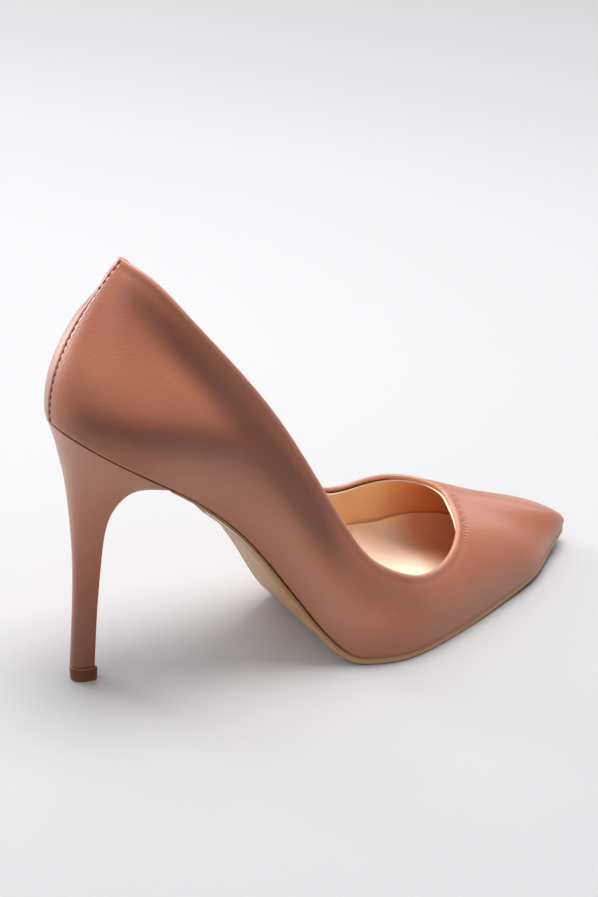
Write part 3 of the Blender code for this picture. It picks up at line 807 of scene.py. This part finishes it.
# %% Stations of the sock
SOCK = 2.4 * MM  # board and sock together
SOCK_EDGE = 0.7 * MM
SOCK_GAP = 0.05 * MM
SOCK_STATIONS = 230
SOCK_BACK, SOCK_FRONT = 0.01 * MM, 4 * MM  # room left at the heel and at the toe
SIDE_STEP = 0.02  # of a section
TIP = 0.2  # the sections next to the toe tip are left out

sock_inset = lining_inset + LINING + SOCK_GAP


def side_columns(sections, stations):
    """Sections of the last on one side whose foot, inside the lining, lies at each station."""
    fine = np.arange(*sections, SIDE_STEP)
    foot = read_skin(make_skin(fine, 30), np.zeros(1), sock_inset)[:, 0]
    order = np.argsort(foot[:, 0])
    return np.interp(stations, foot[order, 0], fine[order])


def side_skin(sections):
    """Skin at single columns: each has its own pair of neighbours for its normals."""
    before, here, after = (
        walls(np.asarray(sections) + step, np.linspace(0, 1, 60)) for step in (-SIDE_STEP, 0.0, SIDE_STEP)
    )
    normals = unit(np.cross(np.gradient(here, axis=1), after - before))
    up = way_up(here)
    return Skin(np.asarray(sections), here, normals, up, up[:, -1:])


foot_line = read_skin(SKIN, np.zeros(1), sock_inset)[:, 0, 0]
sock_start, sock_end = foot_line.min() + SOCK_BACK, foot_line.max() - SOCK_FRONT
closer_at_ends = 0.5 - 0.5 * np.cos(np.pi * np.linspace(0, 1, SOCK_STATIONS))
sock_x = sock_start + (sock_end - sock_start) * closer_at_ends
outer_side = side_skin(side_columns((TIP, BACK_LINE), sock_x))
inner_side = side_skin(side_columns((BACK_LINE, COUNT - TIP), sock_x))
outer_foot, inner_foot = (read_skin(side, np.zeros(1), sock_inset)[:, 0] for side in (outer_side, inner_side))
sock_width = inner_foot[:, 1] - outer_foot[:, 1]
print("sock at most", (sock_width.max() / MM).round(1), "mm wide")

# %% [markdown]
# Each side of the sock goes down its wall, round a soft fillet and onto the flat, so no hard corner catches
# the light. The inner edge stands a little off the wall under the ball.

# %% Turned-up edges
Turn = namedtuple("Turn", "name place rise")  # millimetres in front of the middle, and up the inner wall
TURN_UP = [
    Turn("heel", -110, 3.0),
    Turn("arch", -25, 3.0),
    Turn("arch end", 0, 6.4),
    Turn("ball back", 18, 9.2),
    Turn("ball", 28, 9.4),
    Turn("ball front", 39, 9.3),
    Turn("throat", 47, 10.6),
    Turn("toes", 58, 12.3),
    Turn("toe box", 70, 12.6),
    Turn("toe", 82, 8.0),
    Turn("toe tip", 96, 3.0),
]
OUTER_RISE, LARGEST_FILLET = 3 * MM, 9 * MM
FILLET_SHARE = 0.4  # of the width, at most
WALL_ROWS, FILLET_ROWS = 6, 10
OFF_LEAST, OFF_MORE = 0.2, 1.0  # mm that the inner edge stands off the wall, and more of it at the ball
OFF_STARTS, OFF_ENDS = (5, 20), (30, 55)

place = (sock_x - MIDDLE[0]) / MM
inner_rise = np.interp(place, [row.place for row in TURN_UP], [row.rise for row in TURN_UP]) * MM
outer_rise = np.full_like(place, OUTER_RISE)
stand_off = (OFF_LEAST + OFF_MORE * ease(*OFF_STARTS, place) * (1 - ease(*OFF_ENDS, place))) * MM
inner_round = np.minimum(np.minimum(inner_rise, LARGEST_FILLET), FILLET_SHARE * sock_width)
outer_round = np.minimum(outer_rise, FILLET_SHARE * sock_width)


def turned_edge(side, rise, fillet, inwards, inset, off):
    """Top face and back face of one side of the sock, from the turned-up edge down to the flat."""
    steps = np.linspace(1, 0, WALL_ROWS + 1)[:-1]
    wall_up = SOCK + fillet[:, None] + np.maximum(rise - fillet, 0)[:, None] * steps
    angle = np.radians(np.linspace(90, 0, FILLET_ROWS))
    fillet_up = SOCK + fillet[:, None] * (1 - np.cos(angle))
    low_up = np.maximum(fillet_up * np.linspace(1, 0, FILLET_ROWS), 0.1 * MM)
    gap = inset + off[:, None] * np.concatenate([steps, 0 * angle]) ** 2
    top = read_skin(side, np.concatenate([wall_up, fillet_up], axis=1), gap + SOCK_EDGE)
    back = read_skin(side, np.concatenate([wall_up, low_up], axis=1), gap)
    for face in (top, back):
        face[:, WALL_ROWS:, 1] += inwards * fillet[:, None] * (1 - np.sin(angle))
    return top, back


outer_top, outer_back = turned_edge(outer_side, outer_rise, outer_round, 1, sock_inset, 0 * place)
inner_top, inner_back = turned_edge(inner_side, inner_rise, inner_round, -1, sock_inset, stand_off)
print("inner edge up to", (inner_rise.max() / MM).round(1), "mm high")

# %% Sock
CROWN = 0.5 * MM  # the middle of the sock is a little cushioned
FLAT_ROWS = 20
HEEL_ROUND = 3.5 * MM  # the sock is turned up at the back too
WALL_SHADE, WALL_SHARE = (2, 24), 0.3  # mm to the inner side, where the painted shade by the inner wall begins

across = np.linspace(0, 1, FLAT_ROWS + 2)[1:-1, None]
crown = CROWN * np.sin(np.pi * across)[None] * np.array([0, 0, 1])
flat_top = outer_top[:, -1:] * (1 - across) + inner_top[:, -1:] * across + crown
flat_low = outer_back[:, -1:] * (1 - across) + inner_back[:, -1:] * across
behind = 1 - np.clip((sock_x - sock_start) / HEEL_ROUND, 0, 1)
back_lift = (HEEL_ROUND * (1 - np.sqrt(1 - behind**2)))[:, None]
upwards = sole_normal(sock_x, 0 * sock_x)
base = (outer_top[:, -1] + inner_top[:, -1]) / 2
for rows in (outer_top, flat_top, inner_top):
    high = np.sum((rows - base[:, None]) * upwards[:, None], axis=2)
    missing = np.where(back_lift > 0, np.maximum(back_lift - high, 0), 0)
    rows += missing[:, :, None] * upwards[:, None]
sock_points = np.concatenate([
    outer_top, flat_top, inner_top[:, ::-1], inner_back, flat_low[:, ::-1], outer_back[:, ::-1]
], axis=1)
# Near the inner wall and towards the toe the sock gets painted shade.
wall_shade = WALL_SHARE * ease(*WALL_SHADE, (sock_points - MIDDLE)[:, :, 1] / MM)
sock_shade = np.maximum(toe_shade(sock_points), wall_shade)
sock_mesh = grid_mesh("sock", sock_points, closed_round=False, values={"painted_shade": sock_shade})
add_piece("sock", sock_mesh, SOCK_LEATHER, "insole")

# %% [markdown]
# The outsole is a slab under the feather line, from the heel's lip to the toe. Its edge is a table of depths
# and insets. At the waist it has two layers, a narrow rand and the sheet, whose edge carries a painted
# highlight.
# In front they are dressed to one smooth band, and the highlight fades. A fine groove follows the edge of the
# tread.

# %% Edge of the outsole
Edge = namedtuple("Edge", "name depth waist front pale")
SOLE_EDGE = [  # % of the thickness, millimetres inwards at the waist and in front, share of the painted highlight
    Edge("rand top", 0, 0.4, 0.35, 0.0),
    Edge("rand", 22, -0.1, 0.1, 0.0),
    Edge("rand low", 46, -0.05, -0.12, 0.0),
    Edge("joint", 50, 0.25, -0.15, 0.0),
    Edge("sheet top", 52, -0.4, -0.17, 1.0),
    Edge("sheet edge", 66, -0.5, -0.3, 0.9),
    Edge("sheet middle", 80, -0.35, -0.32, 0.1),
    Edge("turn", 90, 0.2, 0.0, 0.0),
    Edge("tread", 100, 0.9, 0.9, 0.0),
    Edge("groove outside", 100, 3.4, 3.4, 0.0),
    Edge("groove", 88, 3.7, 3.7, 0.0),
    Edge("groove inside", 100, 4.0, 4.0, 0.0),
]
JOINT_DEPTH = 50
Side = namedtuple("Side", "y front back")


def bottom_edges(inset, stations):
    """Outer and inner edge of the bottom at stations along the shoe, moved in from the feather line."""
    found = []
    for low, high in ((0, foot_knots[BACK_LINE]), (foot_knots[BACK_LINE], foot_knots[-1])):
        places = np.linspace(low, high, 900)
        points = FEATHER.at(places) - inset * outside(FEATHER, places)[:, :2]
        points = points[np.argsort(points[:, 0])]
        found.append(Side(np.interp(stations, points[:, 0], points[:, 1]), points[-1, 0], points[0, 0]))
    return found


print("edge of", len(SOLE_EDGE), "rows")

# %% Stations of the outsole
SHEET_START = 22.3  # % of length: the sheet ends here, and only the rand runs on to the heel
DRESSED = (25, 36)  # % of length: from stepped to smooth
OUTSOLE_INSET = 0.4 * MM
TOE_ROUND = 8 * MM
FIT = 0.3 * MM
SOLE_GAP = 0.02 * MM
RAND_STATIONS, STEP_STATIONS, SHEET_STATIONS, TOE_STATIONS = 60, 5, 190, 26

toe = min(side.front for side in bottom_edges(OUTSOLE_INSET, [0]))
lip = HEEL_LIP / 100 * LENGTH
sheet = SHEET_START / 100 * LENGTH
sole_x = np.concatenate([
    np.linspace(lip + FIT, sheet, RAND_STATIONS)[:-2],
    np.linspace(sheet - 0.5 * MM, sheet + 0.1 * MM, STEP_STATIONS),
    np.linspace(sheet, toe - TOE_ROUND, SHEET_STATIONS)[1:],
    toe - TOE_ROUND * np.linspace(1, 0, TOE_STATIONS)[1:] ** 2,
])
percent = sole_x / LENGTH * 100
outer_y, inner_y = (side.y for side in bottom_edges(OUTSOLE_INSET, sole_x))
half = np.maximum((inner_y - outer_y) / 2, 0.02 * MM)
thick = OUTSOLE + (OUTSOLE_WAIST - OUTSOLE) * (1 - ease(WAIST_START, BALL_START, percent))
rand_only = 1 - ease(SHEET_START - 0.2, SHEET_START, percent)
dressed = ease(*DRESSED, percent)
print("outsole", (2 * half.max() / MM).round(1), "mm wide,", (thick.min() / MM).round(1), "mm at the waist")

# %% Outsole
RAND_STEP = 0.6 * MM  # where the sheet has ended, its rows lie behind the rand
TREAD_EDGE = 4 * MM
HIGHLIGHT_FADE = 0.95  # in front the painted highlight fades out


def sole_row(depth, inset, inner):
    """A line of points along the sole at a depth, in from one of its edges."""
    if depth > JOINT_DEPTH:
        depth = depth - rand_only * (depth - JOINT_DEPTH)
        inset = inset + rand_only * RAND_STEP
    inset = np.minimum(inset, half)
    y = inner_y - inset if inner else outer_y + inset
    rise = -SOLE_GAP - depth / 100 * (thick - SOLE_GAP + FIT)
    return np.column_stack([sole_x, y, sole_height(sole_x, y)]) + rise[:, None] * sole_normal(sole_x, y)


edge_rows = [(row.depth, (row.waist + (row.front - row.waist) * dressed) * MM) for row in SOLE_EDGE]
sole_rows = [sole_row(depth, inset, False) for depth, inset in edge_rows]
sole_rows += [sole_row(100, np.maximum(TREAD_EDGE, share * half), False) for share in (0.4, 0.7, 1.0)]
sole_rows += [sole_row(100, np.maximum(TREAD_EDGE, share * half), True) for share in (0.7, 0.4)]
sole_rows += [sole_row(depth, inset, True) for depth, inset in edge_rows[::-1]]
sole_rows += [sole_row(0, share * half, True) for share in (0.5, 1.0)]
sole_rows += [sole_row(0, 0.5 * half, False)]
# The painted highlight on the sole's edge fades out towards the front.
pale = [row.pale for row in SOLE_EDGE] + [0] * 5 + [row.pale for row in SOLE_EDGE[::-1]] + [0] * 3
painted_edge_highlight = (1 - HIGHLIGHT_FADE * dressed)[:, None] * np.array(pale)
sole_points = np.stack(sole_rows, axis=1)
sole_mesh = grid_mesh("sole_sheet", sole_points, closed_round=False, values={"edge": painted_edge_highlight})
add_piece("sole_sheet", sole_mesh, SOLE_SHEET, "outsole")

# %% [markdown]
# The heel is a moulded core covered in the same leather. It is lofted through its levels, from the small tip
# to the heel seat, with a breast that is slightly hollow and corners that the leather rounds off. One outline
# serves every level: the seat's own outline, as shares of its depth and half width.

# %% Outline of the heel
SEAT_INSET = 0.2 * MM
SEAT_STEPS, BREAST_STEPS = 34, 21
BREAST_HOLLOW = 0.07  # share of the depth
BREAST_CORNER = (0.7, 1.0)  # share of the half width, where the hollow runs out

seat_back = bottom_edges(SEAT_INSET, [0])[0].back
depth_shares = np.cos(np.linspace(0, np.pi / 2, SEAT_STEPS)) ** 1.5
seat_sides = bottom_edges(SEAT_INSET, seat_back + depth_shares * (lip - seat_back))
outer_half, inner_half = (side.y / (HEEL_WIDTH / 2) for side in seat_sides)
breast = np.linspace(-1, 1, BREAST_STEPS + 2)[1:-1]
breast_side = np.where(breast < 0, -outer_half[0], inner_half[0]) * breast
breast_share = 1 - BREAST_HOLLOW * (1 - breast**2) * (1 - ease(*BREAST_CORNER, np.abs(breast)))
heel_share = np.concatenate([depth_shares[:-1], [0.0], depth_shares[-2::-1], breast_share[::-1]])
heel_side = np.concatenate([outer_half[:-1], [0.0], inner_half[-2::-1], breast_side[::-1]])
print("outline of", len(heel_share), "points")

# %% Levels of the heel
Level = namedtuple("Level", "name back_along back_rise breast_along breast_rise half_width")
LEVELS = [  # millimetres, and % of the seat's half width
    Level("tip", 6.65, 5.6, 13.9, 5.6, 18),
    Level("lower shaft", 8.1, 28.0, 15.2, 28.4, 20),
    Level("middle", 8.6, 46.0, 16.7, 46.2, 23),
    Level("upper shaft", 8.1, 62.0, 18.1, 60.6, 33),
    Level("neck", 7.1, 75.5, 20.9, 69.6, 50),
    Level("flare", 5.7, 84.0, 24.7, 74.6, 68),
    Level("rim", 4.35, 91.0, 29.4, 76.2, 86),
]
HEEL_LEVELS = 130

heel_rows = [[value * MM for value in row[1:5]] + [row.half_width / 100] for row in LEVELS]
heel_rows.append([seat_back, float(sole_height(seat_back, 0.0)), lip, float(sole_height(lip, 0.0)), 1.0])
heel_rows = np.array(heel_rows)
level_steps = np.hypot(np.diff((heel_rows[:, 1] + heel_rows[:, 3]) / 2), np.diff(heel_rows[:, 2]))
HEEL_SHAPE = Curve(np.append(0, np.cumsum(level_steps)), heel_rows)


def heel_ring(place):
    back_x, back_z, breast_x, breast_z, wide = HEEL_SHAPE.at(place)[0]
    return np.column_stack([
        back_x + heel_share * (breast_x - back_x),
        heel_side * HEEL_WIDTH / 2 * wide,
        back_z + heel_share * (breast_z - back_z),
    ])


heel_rings = np.array([heel_ring(place) for place in np.linspace(0, HEEL_SHAPE.knots[-1], HEEL_LEVELS)])
print("heel of", len(heel_rings), "rings")

# %% Covered heel
SEAT_ROUND, SEAT_DROP = 0.012, 0.35 * MM  # the leather turns in at the seat
HEEL_PAINTED_LIGHT = (35, 85)  # mm above the floor: painted light, paler towards the wide top
HEEL_PAINTED_SHADE = (6, 60)  # and painted shade, darker towards the floor
HEEL_SHADE = 0.9

seat = heel_rings[-1]
seat[:, 2] = sole_height(seat[:, 0], seat[:, 1]) - FIT
rounded = seat - (seat - seat.mean(axis=0)) * SEAT_ROUND
rounded[:, 2] = sole_height(rounded[:, 0], rounded[:, 1]) - FIT
seat[:, 2] -= SEAT_DROP
heel_points = np.concatenate([heel_rings, rounded[None]])
heel_up = heel_points[:, :, 2] / MM
# Painted light makes the heel paler towards its top, painted shade darker towards the floor.
heel_values = {
    "painted_pale_light": HEEL_SHADE * ease(*HEEL_PAINTED_LIGHT, heel_up),
    "painted_light_and_shade": -HEEL_SHADE * (1 - ease(*HEEL_PAINTED_SHADE, heel_up)),
}
heel_mesh = grid_mesh("heel_cover", heel_points, closed_round=False, values=heel_values)
add_piece("heel_cover", heel_mesh, HEEL_LEATHER, "heel")

# %% [markdown]
# The top lift is the small hard foot under the heel. It is a little wider than the tip, with soft edges, so
# it is a stack of rings of the heel's own outline. A bevelled block would not follow that outline.

# %% Top lift
TOP_LIFT = 5.3 * MM
LIFT_TOE = 0.8 * MM  # it reaches this far in front of the heel's breast
Ring = namedtuple("Ring", "name rise size worn")
LIFT_RINGS = [  # % of the lift's height and of the heel's tip
    Ring("floor", 0, 94, 0.3),
    Ring("lower edge", 4, 98, 0.8),
    Ring("lower side", 10, 100, 0.4),
    Ring("side", 50, 102, 0),
    Ring("upper side", 88, 103.5, 0),
    Ring("upper edge", 95, 103, 1),
    Ring("joint", 100, 99, 0.3),
]
tip = LEVELS[0]
lift_depth = (tip.breast_along - tip.back_along) * MM + LIFT_TOE
lift_middle = tip.back_along * MM + lift_depth / 2
lift_half = HEEL_WIDTH / 2 * tip.half_width / 100
lift_points = np.array([
    np.column_stack([
        lift_middle + row.size / 100 * lift_depth * (heel_share - 0.5),
        row.size / 100 * heel_side * lift_half,
        np.full_like(heel_share, row.rise / 100 * TOP_LIFT),
    ])
    for row in LIFT_RINGS
])
# The lift is a little lighter on its edges.
worn = np.broadcast_to([[row.worn] for row in LIFT_RINGS], lift_points.shape[:2])
lift_mesh = grid_mesh("lift_rubber", lift_points, closed_round=False, values={"edge": worn})
add_piece("lift_rubber", lift_mesh, LIFT_RUBBER, "top_lift")

# %% [markdown]
# The back seam has a row of stitches in it, of twisted polyester thread: a dull brown with a faint twist.
# Stitches repeat along a path, which is what Geometry Nodes are for: the path is cut into equal steps, and
# each step gets a small thread dash turned along it.

# %% Thread
THREAD_BROWN, THREAD_DARK = colour("#6b3020"), colour("#542417")
TWIST = 0.3 * MM
THREAD, tree, shader = new_material("polyester_thread_twisted", {"Roughness": 0.6, "Sheen Weight": 0.2})
twisted_tone = cloudy(tree, THREAD_DARK, THREAD_BROWN, TWIST)[2]
tree.links.new(twisted_tone, shader.inputs["Base Color"])
print("thread twist", TWIST / MM, "mm")


# %% Tree of the stitches
def stitch_tree():
    """Geometry Nodes: a thread dash on each step of a path."""
    tree = bpy.data.node_groups.new("stitch_row", "GeometryNodeTree")
    tree.interface.new_socket("Path", in_out="INPUT", socket_type="NodeSocketGeometry")
    for name in ("Pitch", "Dash", "Thread"):
        tree.interface.new_socket(name, in_out="INPUT", socket_type="NodeSocketFloat")
    tree.interface.new_socket("Finish", in_out="INPUT", socket_type="NodeSocketMaterial")
    tree.interface.new_socket("Stitches", in_out="OUTPUT", socket_type="NodeSocketGeometry")
    given = add(tree, "NodeGroupInput").outputs
    path = {"Curve": given["Path"], "Length": given["Pitch"]}
    steps = add(tree, "GeometryNodeResampleCurve", {"mode": "LENGTH"}, {}, path).outputs["Curve"]
    sizes = {"X": given["Dash"], "Y": given["Thread"], "Z": given["Thread"]}
    size = add(tree, "ShaderNodeCombineXYZ", {}, {}, sizes).outputs[0]
    bead = add(tree, "GeometryNodeMeshUVSphere", {}, {"Segments": 8, "Rings": 6, "Radius": 0.5})
    shape = {"Geometry": bead.outputs["Mesh"], "Scale": size}
    dash = add(tree, "GeometryNodeTransform", {}, {}, shape).outputs["Geometry"]
    along = {"Vector": add(tree, "GeometryNodeInputTangent").outputs["Tangent"]}
    heading = add(tree, "FunctionNodeAlignRotationToVector", {"axis": "X"}, {}, along).outputs["Rotation"]
    row = {"Points": steps, "Instance": dash, "Rotation": heading}
    placed = add(tree, "GeometryNodeInstanceOnPoints", {}, {}, row).outputs["Instances"]
    real = add(tree, "GeometryNodeRealizeInstances", {}, {}, {"Geometry": placed}).outputs["Geometry"]
    smooth = add(tree, "GeometryNodeSetShadeSmooth", {}, {}, {"Geometry": real}).outputs["Geometry"]
    finish = {"Geometry": smooth, "Material": given["Finish"]}
    finished = add(tree, "GeometryNodeSetMaterial", {}, {}, finish).outputs["Geometry"]
    add(tree, "NodeGroupOutput", {}, {}, {"Stitches": finished})
    return tree


STITCH_TREE = stitch_tree()
print("stitch tree has", len(STITCH_TREE.nodes), "nodes")


# %% Back seam stitches
def stitch_row(name, points, sizes):
    """A plain mesh of stitches along a path."""
    path = bpy.data.curves.new(name, "CURVE")
    path.dimensions = "3D"
    spline = path.splines.new("POLY")
    spline.points.add(len(points) - 1)
    spline.points.foreach_set("co", np.column_stack([points - MIDDLE, np.ones(len(points))]).ravel())
    carrier = bpy.data.objects.new(name, path)
    bpy.context.scene.collection.objects.link(carrier)
    modifier = carrier.modifiers.new("stitches", "NODES")
    modifier.node_group = STITCH_TREE
    for item in STITCH_TREE.interface.items_tree:
        if item.name in sizes:
            modifier[item.identifier] = sizes[item.name]
    graph = bpy.context.evaluated_depsgraph_get()
    mesh = bpy.data.meshes.new_from_object(carrier.evaluated_get(graph))
    mesh.name = name
    bpy.data.objects.remove(carrier)
    return mesh


STITCH_PROUD = 0.1 * MM  # how far the row lies out of its groove
STITCHED_ROWS = slice(3, -2)  # it stops short of the foot and of the fold
seam_columns = np.abs(SKIN.sections - BACK_LINE) < SEAM_REACH
seam_points = read_skin(SKIN, outer_up, -outer_height - STITCH_PROUD)[seam_columns]
row_points = np.array([
    [np.interp(seam_line(share), line[:, 1], line[:, axis]) for axis in range(3)]
    for line, share in zip(seam_points.transpose(1, 0, 2), row_shares)
])
stitch_sizes = {"Pitch": SEAM_PITCH, "Dash": 1.8 * MM, "Thread": 0.85 * MM, "Finish": THREAD}
stitch_mesh = stitch_row("back_stitches", row_points[STITCHED_ROWS], stitch_sizes)
add_piece("back_stitches", stitch_mesh, THREAD, None)

# %% [markdown]
# The camera keeps the place and the lens of the photograph, which gives the same perspective, and is turned a
# little so that the whole shoe is in the frame. The image is taken to be 598 by 897 pixels.

# %% Camera
IMAGE_WIDTH = 598
FOCAL = 2800  # pixels
SENSOR = 36
CAMERA_PLACE = Vector((-0.4460, -0.7818, 0.474))
TURN, TILT = math.radians(27), math.radians(23)
TO_RIGHT, TO_BELOW = math.radians(1.68), math.radians(1.35)  # the small turn that frames the shoe

camera_data = bpy.data.cameras.new("camera")
camera_data.sensor_fit = "HORIZONTAL"
camera_data.sensor_width = SENSOR
camera_data.lens = SENSOR * FOCAL / IMAGE_WIDTH
camera_data.clip_start = 0.05
camera = bpy.data.objects.new("camera", camera_data)
bpy.context.scene.collection.objects.link(camera)
forward = Vector((math.sin(TURN) * math.cos(TILT), math.cos(TURN) * math.cos(TILT), -math.sin(TILT)))
aim = forward.to_track_quat("-Z", "Y") @ Quaternion((0, 1, 0), -TO_RIGHT) @ Quaternion((1, 0, 0), -TO_BELOW)
camera.location = CAMERA_PLACE
camera.rotation_euler = aim.to_euler()
bpy.context.scene.camera = camera
print("lens", round(camera_data.lens, 1), "mm")

# %% [markdown]
# The shoe stands on pale matt studio paper, which has almost no gloss and hardly any tone of its own. It is a
# plain sheet, larger than any view needs.

# %% Floor
FLOOR_REACH = 4.0
FLOOR_CLOUD = 0.4
PAPER, PAPER_PALE = colour("#b0b0b1"), colour("#b4b4b5")
corners = [(-1, -1), (1, -1), (1, 1), (-1, 1)]
floor_mesh = bpy.data.meshes.new("studio_floor")
floor_mesh.from_pydata([(x * FLOOR_REACH, y * FLOOR_REACH, 0) for x, y in corners], [], [(0, 1, 2, 3)])
floor = bpy.data.objects.new("studio_floor", floor_mesh)
bpy.context.scene.collection.objects.link(floor)
FLOOR_PAPER, tree, shader = new_material("studio_paper_matt", {"Roughness": 0.7, "Specular IOR Level": 0.2})
paper_tone = cloudy(tree, PAPER, PAPER_PALE, FLOOR_CLOUD)[2]
tree.links.new(paper_tone, shader.inputs["Base Color"])
floor_mesh.materials.append(FLOOR_PAPER)
print("floor of", 2 * FLOOR_REACH, "m")

# %% [markdown]
# The key light hangs almost straight above and is aimed behind the shoe, so the floor in front of it stays
# darker and the outer side goes deep. A large soft light behind gives the pale tops, a small low one draws
# the bright edge at the left, and two weak ones open the vamp and the shadow. The room itself stays dim.

# %% Light
Lamp = namedtuple("Lamp", "name place aim size power spread tint")
LAMPS = [
    Lamp("key", (0.16, 0.1, 1.38), (0, 0.2, 0), 0.85, 7.0, 90, "#fffdfb"),
    Lamp("back", (-0.1, 1.5, 1.3), (0, 0, 0.0), 2.4, 18, 180, "#ffffff"),
    Lamp("vamp", (1.1, 0.7, 0.6), (0.06, 0, 0.03), 0.6, 2, 180, "#ffffff"),
    Lamp("edge", (-0.6, 1.15, 0.3), (-0.06, 0, 0.08), 0.5, 10, 180, "#ffffff"),
    Lamp("left", (-0.9, -0.6, 1.1), (-0.05, 0, 0.04), 1.5, 4, 180, "#ffffff"),
]
ROOM, ROOM_STRENGTH = colour("#f4f6ff"), 0.46
for lamp in LAMPS:
    data = bpy.data.lights.new(lamp.name, "AREA")
    data.shape = "SQUARE"
    data.size = lamp.size
    data.energy = lamp.power
    data.spread = math.radians(lamp.spread)
    data.color = colour(lamp.tint)[:3]
    light = bpy.data.objects.new(lamp.name, data)
    light.location = lamp.place
    light.rotation_euler = (Vector(lamp.aim) - Vector(lamp.place)).to_track_quat("-Z", "Y").to_euler()
    bpy.context.scene.collection.objects.link(light)
world = bpy.data.worlds.new("studio")
world.use_nodes = True
room = world.node_tree.nodes["Background"]
room.inputs["Color"].default_value = ROOM
room.inputs["Strength"].default_value = ROOM_STRENGTH
bpy.context.scene.world = world
bpy.context.scene.view_settings.view_transform = "Standard"
print(len(LAMPS), "lamps")
